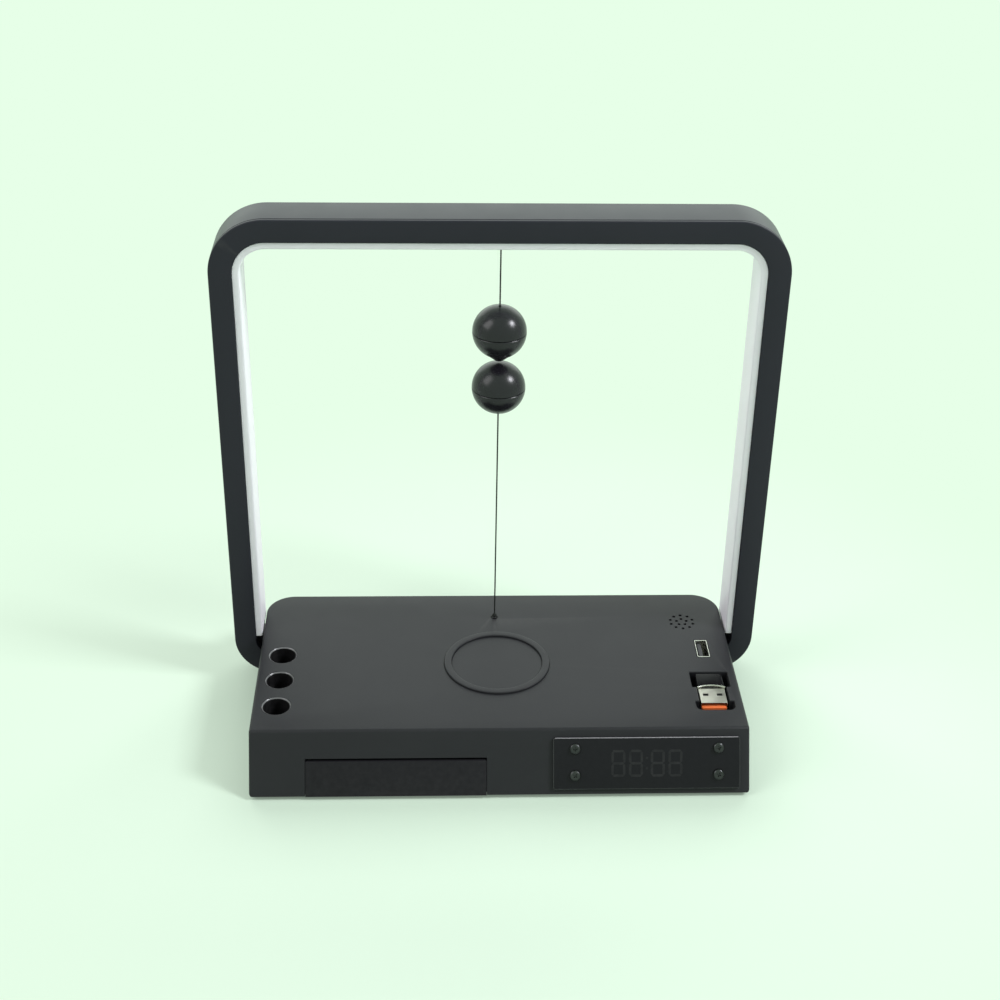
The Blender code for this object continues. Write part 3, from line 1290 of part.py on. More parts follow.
def ball_profile(kind):
    """Half of a ball shell below its seam, from the inner pole round to the outer one."""
    seam = BALL_SEAM / 2
    groove = BALL_SEAM_CHAMFER
    steps = BALL_STEPS
    pole = BALL_HOLE_RADIUS if kind == 'bored' else 0.0
    inner = []
    for step in range(steps + 1):
        start = math.asin(pole / ball_bore)
        end = math.pi / 2 - math.asin(seam / ball_bore)
        angle = start + (end - start) * step / steps
        inner.append((ball_bore * math.sin(angle), -ball_bore * math.cos(angle)))
    start = math.asin((seam + groove) / BALL_RADIUS)
    end = math.pi / 2 - math.asin(pole / BALL_RADIUS)
    if kind == 'nosed':
        end = math.acos(NOSE_ROOT_RADIUS / BALL_RADIUS)
    outer = [(BALL_RADIUS - groove, -seam)]
    for step in range(steps + 1):
        angle = start + (end - start) * step / steps
        outer.append((BALL_RADIUS * math.cos(angle), -BALL_RADIUS * math.sin(angle)))
    if kind == 'nosed':
        outer += [(NOSE_TIP_RADIUS, -NOSE_LENGTH), (0.0, -NOSE_LENGTH)]
    elif kind == 'plain':
        outer[-1] = (0.0, -BALL_RADIUS)
    return inner + outer


def build_ball_half(name, kind, level, pivot, upper):
    profile = ball_profile(kind)
    if upper:
        profile = [(radius, -height) for radius, height in reversed(profile)]
    profile = [(radius, height + level - pivot) for radius, height in profile]
    half = turned(name, profile, at(0, thread_y, pivot), LAMP, ROUND_STEPS, closed=kind == 'bored')
    return finish(half, BALL_BLACK, 0.35)


def build_magnet(name, level, pivot, side):
    """A round magnet against the end of a ball; side is -1 where it lies low."""
    corner = MAGNET_RADIUS + MAGNET_CHAMFER / 2
    reach = math.sqrt((ball_bore - GAP) ** 2 - corner ** 2)
    edges = sorted((level + side * reach - pivot, level + side * (reach - MAGNET_HEIGHT) - pivot))
    low, high = edges
    chamfer = MAGNET_CHAMFER
    profile = [(0.0, high), (MAGNET_RADIUS - chamfer, high), (MAGNET_RADIUS, high - chamfer),
               (MAGNET_RADIUS, low + chamfer), (MAGNET_RADIUS - chamfer, low), (0.0, low)]
    magnet = turned(name, profile, at(0, thread_y, pivot), LAMP, SMALL_STEPS)
    return finish(magnet, MAGNET_NICKEL, 0.3, 1.0)


def build_pendulums():
    """Both threads with their balls, magnets and swivels."""
    build_swivel('upper_swivel', upper_pivot)
    build_thread('upper_thread', upper_pivot, upper_ball_z, -1)
    build_ball_half('upper_ball_top', 'bored', upper_ball_z, upper_pivot, True)
    build_ball_half('upper_ball_bottom', 'nosed', upper_ball_z, upper_pivot, False)
    build_magnet('upper_magnet', upper_ball_z, upper_pivot, -1)
    build_swivel('lower_swivel', lower_pivot)
    build_thread('lower_thread', lower_pivot, lower_ball_z, 1)
    build_ball_half('lower_ball_top', 'plain', lower_ball_z, lower_pivot, True)
    build_ball_half('lower_ball_bottom', 'bored', lower_ball_z, lower_pivot, False)
    build_magnet('lower_magnet', lower_ball_z, lower_pivot, 1)


def drawer_top():
    """Height of the drawer's walls, under the front wall's opening."""
    inner_edge = on_front(0, drawer_down, -FRONT_WALL).translation
    return inner_edge.z - DRAWER_HEADROOM


def build_drawer():
    """The drawer: an open tray moulded with its slanted front."""
    left = -drawer_left + DRAWER_SIDE_GAP
    right = -DRAWER_RIGHT - DRAWER_SIDE_GAP
    floor_low = cover_top + DRAWER_LIFT
    tray_front = front_bottom_y - OVERRUN
    drawer = box_between('drawer', (left, tray_front, floor_low), (right, drawer_back, drawer_top()),
                         LAMP)
    cut_plane(drawer, on_front(0, 0, -FRONT_WALL / 2).translation, front_out)

    face_top = drawer_down + DRAWER_SIDE_GAP
    face_low = front_length + OVERRUN
    face_size = (right - left, face_low - face_top, FRONT_WALL)
    face = box('drawer_face', face_size, on_front((left + right) / 2, (face_low + face_top) / 2,
                                                  -FRONT_WALL / 2), TOOLS)
    bpy.context.view_layer.update()
    cut_plane(face, (0.0, 0.0, base_bottom), (0.0, 0.0, -1.0))
    fuse(drawer, face)

    chamfer_size = (right - left + 2 * OVERRUN, DRAWER_FRONT_CHAMFER, DRAWER_FRONT_CHAMFER)
    chamfer_place = on_front((left + right) / 2, face_top) @ Matrix.Rotation(math.pi / 4, 4, 'X')
    cut(drawer, box('drawer_chamfer', chamfer_size, chamfer_place, TOOLS))

    hollow_low = (left + DRAWER_WALL, tray_front, floor_low + DRAWER_FLOOR)
    hollow_high = (right - DRAWER_WALL, drawer_back - DRAWER_WALL, base_top)
    hollow = box_between('drawer_hollow', hollow_low, hollow_high, TOOLS)
    bpy.context.view_layer.update()
    cut_plane(hollow, on_front(0, 0, -FRONT_WALL).translation, front_out)
    cut(drawer, hollow)
    return finish(drawer, DRAWER_BLACK, 0.4)


def adapter_levels():
    top = base_top - ADAPTER_SINK
    low = base_top - POCKET_DEPTH + GAP
    return low, top, (low + top) / 2


def build_adapter():
    """The small plug-in adapter that lies in its pocket, its plug towards the front."""
    low, top, middle = adapter_levels()
    _, neck, shoulder, pocket_back = pocket_levels()
    body_back = pocket_back - GAP
    trim_front = shoulder + GAP
    body_front = trim_front + TRIM_THICKNESS + SNUG
    mouth = neck + PLUG_MOUTH_GAP
    half = ADAPTER_WIDTH / 2
    body = box_between('adapter_body', (pocket_x - half, body_front, low),
                       (pocket_x + half, body_back, top), LAMP)
    round_edges(body, ADAPTER_BODY_ROUND)
    finish(body, SMOKED_GLOSS, 0.3)

    tongue_hole = (PLUG_WIDTH / 2, PLUG_TONGUE_HEIGHT)
    trim_place = upright(pocket_x, trim_front + TRIM_THICKNESS / 2, middle)
    outline = rounded_rectangle(ADAPTER_WIDTH, top - low, ADAPTER_BODY_ROUND)
    trim = plate('adapter_trim', [outline], TRIM_THICKNESS, trim_place, LAMP)
    round_edges(trim, TRIM_ROUND, 1)
    cut(trim, box('trim_hole', (*tongue_hole, TRIM_THICKNESS + OVERRUN), trim_place, TOOLS))
    finish(trim, BRIGHT_STEEL, 0.25, 1.0)

    shell_back = trim_front - SNUG
    shell = box_between('adapter_plug_shell',
                        (pocket_x - PLUG_WIDTH / 2, mouth, middle - PLUG_HEIGHT / 2),
                        (pocket_x + PLUG_WIDTH / 2, shell_back, middle + PLUG_HEIGHT / 2), LAMP)
    inner = PLUG_WIDTH / 2 - PLUG_SHEET
    inner_low = middle - PLUG_HEIGHT / 2 + PLUG_SHEET
    inner_high = middle + PLUG_HEIGHT / 2 - PLUG_SHEET
    cut(shell, box_between('plug_hollow', (pocket_x - inner, mouth - OVERRUN, inner_low),
                           (pocket_x + inner, shell_back + OVERRUN, inner_high), TOOLS))
    window_y = mouth + PLUG_WINDOW_FROM_MOUTH
    windows = [box('plug_window', (PLUG_WINDOW, PLUG_WINDOW, PLUG_HEIGHT + OVERRUN),
                   at(pocket_x + side * PLUG_WINDOW_SPREAD, window_y, middle), TOOLS)
               for side in (-1, 1)]
    cut(shell, gather('plug_windows', windows, TOOLS))
    finish(shell, BRIGHT_STEEL, 0.22, 1.0)

    tongue_low = inner_low + SNUG
    tongue = box_between('adapter_tongue',
                         (pocket_x - inner + SNUG, mouth + PLUG_TONGUE_SINK, tongue_low),
                         (pocket_x + inner - SNUG, shell_back, tongue_low + PLUG_TONGUE_HEIGHT),
                         LAMP)
    finish(tongue, TONGUE_ORANGE, 0.45)


build_housing()
build_bottom_cover()
build_feet()
build_cover_screws()
build_frame_screws()
build_frame_channel()
build_frame_front_cover()
build_diffuser()
build_led_strip()
build_upper_post()
build_charging_ring()
build_coil()
build_ferrite()
build_boards()
build_sounder()
build_socket()
build_power_inlet()
build_clock()
build_button_board()
build_buttons()
build_pull_switch()
build_pendulums()
build_drawer()
build_adapter()
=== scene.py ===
import math

import bmesh
import bpy
from mathutils import Matrix, Vector


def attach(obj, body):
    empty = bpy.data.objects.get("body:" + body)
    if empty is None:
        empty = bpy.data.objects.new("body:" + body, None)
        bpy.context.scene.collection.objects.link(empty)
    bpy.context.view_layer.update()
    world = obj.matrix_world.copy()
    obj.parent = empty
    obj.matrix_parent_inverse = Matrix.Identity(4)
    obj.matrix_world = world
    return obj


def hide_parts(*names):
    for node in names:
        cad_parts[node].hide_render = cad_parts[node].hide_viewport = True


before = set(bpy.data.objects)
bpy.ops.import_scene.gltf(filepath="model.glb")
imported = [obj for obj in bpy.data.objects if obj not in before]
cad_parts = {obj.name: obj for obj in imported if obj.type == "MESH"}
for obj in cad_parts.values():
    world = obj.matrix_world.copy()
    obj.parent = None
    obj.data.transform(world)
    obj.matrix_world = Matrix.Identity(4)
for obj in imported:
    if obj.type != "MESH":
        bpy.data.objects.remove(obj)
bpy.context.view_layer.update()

# The camera stands a little left of the lamp's middle, well above it, and looks down
# on the base so that the top, the slanted front and both legs of the frame show.
EYE = Vector((-0.02703, -0.61766, 0.47260))
EYE_DOWN, EYE_TURN, EYE_ROLL = 0.5257, -0.0435, 0.0192
EYE_LENS = 60.455

level_right = Vector((math.cos(EYE_TURN), math.sin(EYE_TURN), 0.0))
level_ahead = Vector((-math.sin(EYE_TURN), math.cos(EYE_TURN), 0.0))
straight_up = Vector((0.0, 0.0, 1.0))
ahead = math.cos(EYE_DOWN) * level_ahead - math.sin(EYE_DOWN) * straight_up
tilted_up = math.sin(EYE_DOWN) * level_ahead + math.cos(EYE_DOWN) * straight_up
eye_right = math.cos(EYE_ROLL) * level_right + math.sin(EYE_ROLL) * tilted_up
eye_up = -math.sin(EYE_ROLL) * level_right + math.cos(EYE_ROLL) * tilted_up
camera = bpy.data.objects.new("camera", bpy.data.cameras.new("camera"))
camera.matrix_world = Matrix((
    (eye_right.x, eye_up.x, -ahead.x, EYE.x),
    (eye_right.y, eye_up.y, -ahead.y, EYE.y),
    (eye_right.z, eye_up.z, -ahead.z, EYE.z),
    (0.0, 0.0, 0.0, 1.0)))
camera.data.lens = EYE_LENS
camera.data.sensor_width = 36.0
camera.data.clip_start = 0.01
bpy.context.scene.collection.objects.link(camera)
bpy.context.scene.camera = camera
bpy.context.scene.view_settings.view_transform = "Standard"

# The floor is a pale mint studio sweep, lit near the lamp and plain farther out. The lamps are
# soft boxes: a large key behind and above for the shadow in front of the base, a low wide one
# behind for the sheen of the top faces, and one at each side for the highlights on the balls.
MINT, LIT_MINT = (0.799, 1.0, 0.807), (0.64, 0.80, 0.64)
FLOOR_REACH = 9.0
LIT_WITHIN, PLAIN_BEYOND, PLAIN_SHARE_NEAR = 0.14, 0.34, 0.2
SKY_COLOUR, SKY_STRENGTH = (0.98, 1.0, 1.0), 0.30


def added(tree, kind, values=None, **settings):
    """Add a node, give its sockets plain values and make its own settings."""
    node = tree.nodes.new(kind)
    for name, value in settings.items():
        setattr(node, name, value)
    for socket, value in (values or {}).items():
        node.inputs[socket].default_value = value
    return node


def joined(tree, *pairs):
    """Link outputs to inputs: each pair is (node, output, node, input)."""
    for giver, output, taker, socket in pairs:
        tree.links.new(giver.outputs[output], taker.inputs[socket])


def shown_pale(look, shader, colour, near_share=None):
    """Let the camera, gloss and clear pieces see a plain pale colour in place of a lit one,
    and where a share is given, see mostly the lit one near the lamp so that its shadow shows."""
    tree = look.node_tree
    path = added(tree, "ShaderNodeLightPath")
    seen = added(tree, "ShaderNodeMath", operation="MAXIMUM")
    part = added(tree, "ShaderNodeMath", operation="MAXIMUM")
    joined(tree, (path, "Is Camera Ray", seen, 0), (path, "Is Glossy Ray", seen, 1),
           (seen, 0, part, 0), (path, "Is Transmission Ray", part, 1))
    if near_share is not None:
        place = added(tree, "ShaderNodeTexCoord")
        reach = added(tree, "ShaderNodeVectorMath", operation="LENGTH")
        plain = added(tree, "ShaderNodeMapRange",
                      {"From Min": LIT_WITHIN, "From Max": PLAIN_BEYOND, "To Min": near_share},
                      interpolation_type="SMOOTHSTEP")
        everywhere, part = part, added(tree, "ShaderNodeMath", operation="MULTIPLY")
        joined(tree, (place, "Object", reach, 0), (reach, "Value", plain, "Value"),
               (everywhere, 0, part, 0), (plain, "Result", part, 1))
    glow = added(tree, "ShaderNodeBackground" if near_share is None else "ShaderNodeEmission",
                 {"Color": (*colour, 1.0), "Strength": 1.0})
    mix = added(tree, "ShaderNodeMixShader")
    joined(tree, (part, 0, mix, 0), (shader, 0, mix, 1), (glow, 0, mix, 2))
    return mix


floor_mesh = bpy.data.meshes.new("floor")
floor_mesh.from_pydata([(-FLOOR_REACH, -FLOOR_REACH, 0.0), (FLOOR_REACH, -FLOOR_REACH, 0.0),
                        (FLOOR_REACH, FLOOR_REACH, 0.0), (-FLOOR_REACH, FLOOR_REACH, 0.0)],
                       [], [(0, 1, 2, 3)])
floor = bpy.data.objects.new("floor", floor_mesh)
bpy.context.scene.collection.objects.link(floor)
floor_look = bpy.data.materials.new("floor_mint")
floor_look.use_nodes = True
floor_shader = floor_look.node_tree.nodes["Principled BSDF"]
floor_shader.inputs["Base Color"].default_value = (*LIT_MINT, 1.0)
floor_shader.inputs["Roughness"].default_value = 0.9
floor_shader.inputs["Specular IOR Level"].default_value = 0.0
joined(floor_look.node_tree, (shown_pale(floor_look, floor_shader, MINT, PLAIN_SHARE_NEAR), 0,
                              floor_look.node_tree.nodes["Material Output"], "Surface"))
floor_mesh.materials.append(floor_look)

sky = bpy.data.worlds.new("studio")
sky.use_nodes = True
bpy.context.scene.world = sky
sky_light = sky.node_tree.nodes["Background"]
sky_light.inputs["Color"].default_value = (*SKY_COLOUR, 1.0)
sky_light.inputs["Strength"].default_value = SKY_STRENGTH
joined(sky.node_tree, (shown_pale(sky, sky_light, MINT), 0,
                       sky.node_tree.nodes["World Output"], "Surface"))


def soft_box(name, place, aim, size, power, tint=(1.0, 1.0, 1.0)):
    light = bpy.data.lights.new(name, "AREA")
    light.shape = "RECTANGLE"
    light.size, light.size_y = size
    light.energy = power
    light.color = tint
    lamp = bpy.data.objects.new(name, light)
    toward = (Vector(aim) - Vector(place)).to_track_quat("-Z", "Y").to_matrix().to_4x4()
    lamp.matrix_world = Matrix.Translation(place) @ toward
    lamp.visible_camera = False
    bpy.context.scene.collection.objects.link(lamp)
    return lamp


key_box = soft_box("key_box", (0.0, 2.3, 1.87), (0.0, 0.0, 0.0), (3.5, 1.75), 60.0,
                   (1.0, 0.98, 1.0))
key_box.visible_glossy = False
soft_box("rear_box", (0.0, 2.3, 0.95), (0.0, 0.0, 0.15), (4.0, 1.7), 21.0, (0.98, 0.97, 1.0))
soft_box("left_box", (-0.98, -0.25, 1.0), (0.0, 0.02, 0.16), (0.8, 0.8), 6.5, (1.0, 0.96, 1.0))
soft_box("right_box", (0.98, -0.25, 1.0), (0.0, 0.02, 0.16), (0.34, 0.34), 13.0, (0.94, 0.94, 1.0))

# The upper housing is one moulding in dark grey plastic with a fine sandblasted grain. Its
# front leans back, its rear corners are round, and each opening has the small lead-in
# chamfer that the mould leaves. Its cavity holds the boards.
BASE_LOW, BASE_TOP = 0.0015, 0.0268
HALF_WIDTH = 0.1075
FRONT_FOOT, FRONT_EDGE, BACK = -0.05915, -0.04535, 0.05915
REAR_CORNER = 0.013
TOP_EDGE = 0.0012
SIDE_WALL, TOP_WALL, FRONT_WALL = 0.002, 0.0022, 0.0022
OVER = 0.002
LEAN = math.atan2(FRONT_EDGE - FRONT_FOOT, BASE_TOP - BASE_LOW)
FRONT_OUT = Vector((0.0, -math.cos(LEAN), math.sin(LEAN)))
FRONT_UP = Vector((0.0, math.sin(LEAN), math.cos(LEAN)))
FRONT_LENGTH = math.hypot(FRONT_EDGE - FRONT_FOOT, BASE_TOP - BASE_LOW)
THREAD_Y, THREAD_HOLE = 0.0400, 0.0015
FRAME_FRONT, FRAME_BACK = 0.02895, 0.05105
WELL_X, WELL_YS, WELL_RADIUS, WELL_WALL = -0.0971, (-0.02785, -0.0088, 0.01025), 0.0059, 0.0012
SOUNDER_X, SOUNDER_Y, GRILLE_HOLE = 0.0882, 0.03515, 0.00075
SOCKET_X, SOCKET_Y, SOCKET_HALF = 0.0949, 0.01345, (0.00285, 0.00655)
POCKET_X, POCKET_FLOOR = 0.0951, 0.0197
POCKET_FRONT, POCKET_NECK, POCKET_SHOULDER, POCKET_BACK = -0.03275, -0.02635, -0.01595, -0.00485
POCKET_WIDE, POCKET_NARROW, POCKET_FINGER = 0.00865, 0.00675, 0.003
RING_Y, RING_OUTER, RING_WIDTH, RING_SEAT = 0.00315, 0.0238, 0.0033, 0.0009
FIT = 0.00015
PANEL_X, PANEL_DOWN = 0.0628, 0.0038
DISPLAY_X, DISPLAY_DOWN, DISPLAY_SIZE = 0.0628, 0.0059, (0.039, 0.0162)
DRAWER_LEFT, DRAWER_RIGHT, DRAWER_DOWN = -0.08366, -0.00584, 0.0122
BUTTON_XS, BUTTON_Z, BUTTON_HOLE = (-0.060, -0.050, -0.040), 0.0196, 0.0022
INLET_X, INLET_Z, INLET_HALF = 0.055, 0.01785, (0.00445, 0.00165)


def bend(across, along, radius, start, end, steps=10):
    """Points round part of a circle, with its angles in degrees."""
    turn = [math.radians(start + (end - start) * step / steps) for step in range(steps + 1)]
    return [(across + radius * math.cos(a), along + radius * math.sin(a)) for a in turn]


def rounded(half_across, half_along, radius, steps=8, middle=(0.0, 0.0)):
    """A rectangle's outline with round corners, run round once."""
    x, y = half_across - radius, half_along - radius
    points = bend(x, y, radius, 0, 90, steps) + bend(-x, y, radius, 90, 180, steps)
    points += bend(-x, -y, radius, 180, 270, steps) + bend(x, -y, radius, 270, 360, steps)
    return [(middle[0] + across, middle[1] + along) for across, along in points]


def lying(points, z):
    return [Vector((x, y, z)) for x, y in points]


def standing(points, y):
    return [Vector((x, y, z)) for x, z in points]


def on_front(x, down, out=0.0):
    return Vector((x, FRONT_EDGE, BASE_TOP)) - FRONT_UP * down + FRONT_OUT * out


def leaning(points, out):
    """An outline of across and down, laid on the slanted front."""
    return [on_front(x, down, out) for x, down in points]


def piece_of(name, shape):
    """Make a piece from a worked-up mesh, with its faces turned outward."""
    bmesh.ops.recalc_face_normals(shape, faces=shape.faces)
    mesh = bpy.data.meshes.new(name)
    shape.to_mesh(mesh)
    shape.free()
    piece = bpy.data.objects.new(name, mesh)
    bpy.context.scene.collection.objects.link(piece)
    return piece


def skinned(name, rings, endless=False):
    """Join equal outlines into one closed skin; an endless skin runs round in a loop."""
    shape = bmesh.new()
    rows = [[shape.verts.new(point) for point in ring] for ring in rings]
    pairs = list(zip(rows, rows[1:])) + ([(rows[-1], rows[0])] if endless else [])
    for one, other in pairs:
        for index in range(len(one)):
            following = (index + 1) % len(one)
            shape.faces.new((one[index], one[following], other[following], other[index]))
    if not endless:
        shape.faces.new(rows[0])
        shape.faces.new(rows[-1])
    return piece_of(name, shape)


def turned(name, profile, x, y, steps=64):
    """A turned piece about an upright axis, from a profile of radius and height."""
    shape = bmesh.new()
    rows = []
    for radius, z in profile:
        if radius == 0.0:
            rows.append([shape.verts.new((x, y, z))])
        else:
            rows.append([shape.verts.new((x + radius * math.cos(2 * math.pi * i / steps),
                                          y + radius * math.sin(2 * math.pi * i / steps), z))
                         for i in range(steps)])
    closed = profile[0][0] > 0.0 and profile[-1][0] > 0.0
    for one, other in list(zip(rows, rows[1:])) + ([(rows[-1], rows[0])] if closed else []):
        for i in range(steps):
            j = (i + 1) % steps
            if len(one) == 1:
                shape.faces.new((one[0], other[j], other[i]))
            elif len(other) == 1:
                shape.faces.new((one[i], one[j], other[0]))
            else:
                shape.faces.new((one[i], one[j], other[j], other[i]))
    return piece_of(name, shape)


def set_in_mesh(piece):
    """Make a piece's modifiers into plain mesh."""
    bpy.context.view_layer.update()
    graph = bpy.context.evaluated_depsgraph_get()
    mesh = bpy.data.meshes.new_from_object(piece.evaluated_get(graph))
    piece.modifiers.clear()
    piece.data = mesh
    return piece


def softened(piece, width, segments=3, angle=40):
    bevel = piece.modifiers.new("softened", "BEVEL")
    bevel.width = width
    bevel.segments = segments
    bevel.limit_method = "ANGLE"
    bevel.angle_limit = math.radians(angle)
    bevel.harden_normals = False
    return set_in_mesh(piece)


def gathered(name, shapes):
    """Put several shapes in one mesh."""
    together = bmesh.new()
    for shape in shapes:
        together.from_mesh(shape.data)
        bpy.data.objects.remove(shape)
    mesh = bpy.data.meshes.new(name)
    together.to_mesh(mesh)
    together.free()
    piece = bpy.data.objects.new(name, mesh)
    bpy.context.scene.collection.objects.link(piece)
    return piece


def worked(piece, tool, operation="DIFFERENCE"):
    """Cut a piece with a tool, or weld the tool on, and clear the tool away."""
    change = piece.modifiers.new("worked", "BOOLEAN")
    change.operation = operation
    change.solver = "EXACT"
    change.object = tool
    set_in_mesh(piece)
    bpy.data.objects.remove(tool)
    return piece


def led_in(low, high, lead=0.0003):
    """Levels of a straight bore with a small lead-in chamfer at its high end."""
    return [(0.0, low), (0.0, high - lead), (lead, high), (lead, high + OVER)]


def punch(name, outline, levels):
    """A cutter whose outline grows by an offset at each level: levels are (offset, z)."""
    return skinned(name, [lying(outline(offset), z) for offset, z in levels])


def circle(x, y, radius, steps=48):
    return [(x + radius * math.cos(2 * math.pi * i / steps),
             y + radius * math.sin(2 * math.pi * i / steps)) for i in range(steps)]


def base_outline(front_y, inset=0.0):
    half, rear, radius = HALF_WIDTH - inset, BACK - inset, REAR_CORNER - inset
    points = [(-half, front_y), (half, front_y)]
    points += bend(half - radius, rear - radius, radius, 0, 90, 20)
    return points + bend(-half + radius, rear - radius, radius, 90, 180, 20)


def base_form(name, low, high, inset=0.0, front_inset=0.0):
    """The base's outer form between two levels, drawn in on its sides and front."""
    drawn = front_inset / math.cos(LEAN)
    rings = []
    for z in (low, high):
        front_y = FRONT_FOOT + (z - BASE_LOW) * math.tan(LEAN) + drawn
        rings.append(lying(base_outline(front_y, inset), z))
    return skinned(name, rings)


def moulded_plastic(name, tone, lighter, roughness, grain=0.00035, depth=0.00001, spread=0.06,
                    worn=(0.09, 0.09, 0.09), wear=0.35, gleam=0.18):
    """Moulded plastic: an eroded grain, faint clouding, uneven gloss and rubbed edges."""
    look = bpy.data.materials.new(name)
    look.use_nodes = True
    tree = look.node_tree
    shader = tree.nodes["Principled BSDF"]
    shader.inputs["Specular IOR Level"].default_value = gleam
    place = added(tree, "ShaderNodeTexCoord")
    clouds = added(tree, "ShaderNodeTexNoise", {"Scale": 38.0, "Detail": 5.0})
    blend = added(tree, "ShaderNodeMix", data_type="RGBA")
    blend.inputs["A"].default_value = (*tone, 1.0)
    blend.inputs["B"].default_value = (*lighter, 1.0)
    edges = added(tree, "ShaderNodeNewGeometry")
    rubbed = added(tree, "ShaderNodeMapRange", {"From Min": 0.53, "From Max": 0.66, "To Max": wear})
    scuffs = added(tree, "ShaderNodeTexNoise", {"Scale": 420.0, "Detail": 4.0})
    patchy = added(tree, "ShaderNodeMath", operation="MULTIPLY")
    finish = added(tree, "ShaderNodeMix", data_type="RGBA")
    finish.inputs["B"].default_value = (*worn, 1.0)
    smudges = added(tree, "ShaderNodeTexNoise", {"Scale": 75.0, "Detail": 6.0})
    gloss = added(tree, "ShaderNodeMapRange", {"From Min": 0.3, "From Max": 0.7, "To Min":
                                               roughness - spread, "To Max": roughness + spread})
    pits = added(tree, "ShaderNodeTexNoise", {"Scale": 1.0 / grain, "Detail": 3.0})
    bump = added(tree, "ShaderNodeBump", {"Strength": 0.5, "Distance": depth})
    joined(tree, *[(place, "Object", noise, "Vector") for noise in (clouds, scuffs, smudges, pits)],
           (clouds, "Fac", blend, "Factor"), (edges, "Pointiness", rubbed, "Value"),
           (rubbed, "Result", patchy, 0), (scuffs, "Fac", patchy, 1), (patchy, 0, finish, "Factor"),
           (smudges, "Fac", gloss, "Value"), (gloss, "Result", shader, "Roughness"),
           (pits, "Fac", bump, "Height"), (bump, "Normal", shader, "Normal"))
    tree.links.new(blend.outputs["Result"], finish.inputs["A"])
    tree.links.new(finish.outputs["Result"], shader.inputs["Base Color"])
    return look


def fitted(piece, look, body, slot, *nodes):
    """Give a finished piece its look, its body and the CAD nodes that it stands for."""
    piece.data.materials.clear()
    piece.data.materials.append(look)
    piece.data.shade_smooth()
    piece.data.set_sharp_from_angle(angle=math.radians(32))
    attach(piece, body)
    if nodes:
        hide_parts(*nodes)
    return piece


def dressed(look, *nodes):
    """Give CAD nodes that stay in view a better material."""
    for node in nodes:
        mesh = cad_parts[node].data
        for index in range(len(mesh.materials)):
            mesh.materials[index] = look
        if not mesh.materials:
            mesh.materials.append(look)


def node_input(tree, label, kind):
    tree.interface.new_socket(label, in_out="INPUT", socket_type="NodeSocket" + kind)


def grown(name, mesh, tree, wanted):
    """Run a node tree on a seed mesh, with its inputs set by name, and keep the plain mesh."""
    piece = bpy.data.objects.new(name, mesh)
    bpy.context.scene.collection.objects.link(piece)
    made = piece.modifiers.new("grown", "NODES")
    made.node_group = tree
    for item in tree.interface.items_tree:
        if item.item_type == "SOCKET" and item.in_out == "INPUT" and item.name in wanted:
            made[item.identifier] = wanted[item.name]
    return set_in_mesh(piece)


def perforation_cutters(name, x, y, low, high, hole):
    """Geometry Nodes set two circles of drills, which are then one plain mesh."""
    tree = bpy.data.node_groups.new(name, "GeometryNodeTree")
    for label in ("Outer circle", "Inner circle", "Hole radius", "Drill length"):
        node_input(tree, label, "Float")
    for label in ("Outer holes", "Inner holes"):
        node_input(tree, label, "Int")
    tree.interface.new_socket("Geometry", in_out="OUTPUT", socket_type="NodeSocketGeometry")
    sizes = added(tree, "NodeGroupInput")
    drill = added(tree, "GeometryNodeMeshCylinder", {"Vertices": 16})
    join = added(tree, "GeometryNodeJoinGeometry")
    joined(tree, (sizes, "Hole radius", drill, "Radius"), (sizes, "Drill length", drill, "Depth"))
    for ring in ("Outer", "Inner"):
        path = added(tree, "GeometryNodeMeshCircle")
        turn = added(tree, "GeometryNodeTransform", {"Rotation": (0.0, 0.0, math.pi / 2)})
        spread = added(tree, "GeometryNodeInstanceOnPoints")
        joined(tree, (sizes, ring + " holes", path, "Vertices"),
               (sizes, ring + " circle", path, "Radius"), (path, "Mesh", turn, "Geometry"),
               (turn, "Geometry", spread, "Points"), (drill, "Mesh", spread, "Instance"),
               (spread, "Instances", join, "Geometry"))
    real = added(tree, "GeometryNodeRealizeInstances")
    coat = added(tree, "GeometryNodeSetMaterial")
    result = added(tree, "NodeGroupOutput")
    joined(tree, (join, "Geometry", real, "Geometry"), (real, "Geometry", coat, "Geometry"),
           (coat, "Geometry", result, "Geometry"))
    cutters = grown(name, bpy.data.meshes.new(name), tree, {
        "Outer circle": 0.0054, "Inner circle": 0.0024, "Hole radius": hole,
        "Drill length": high - low, "Outer holes": 10, "Inner holes": 5})
    cutters.data.transform(Matrix.Translation((x, y, (low + high) / 2)))
    return cutters


housing_look = moulded_plastic("housing_plastic", (0.0200, 0.0203, 0.0230),
                               (0.0238, 0.0243, 0.0270), 0.43, spread=0.03)
housing = softened(base_form("base_shell", BASE_LOW, BASE_TOP), TOP_EDGE, 5)
housing = worked(housing, base_form("cavity", BASE_LOW - OVER, BASE_TOP - TOP_WALL,
                                    SIDE_WALL, FRONT_WALL))
root = BASE_TOP - TOP_WALL / 2
inner_parts = [skinned("well_tube", [lying(circle(WELL_X, y, WELL_RADIUS + WELL_WALL), z)
                                     for z in (0.0033, root)]) for y in WELL_YS]
tub = rounded(POCKET_WIDE + 0.0012, (POCKET_BACK - POCKET_FRONT) / 2 + 0.0012, 0.0015, 4,
              (POCKET_X, (POCKET_BACK + POCKET_FRONT) / 2))
inner_parts.append(skinned("pocket_tub", [lying(tub, z) for z in (POCKET_FLOOR - 0.0012, root)]))
housing = worked(housing, gathered("inner_parts", inner_parts), "UNION")


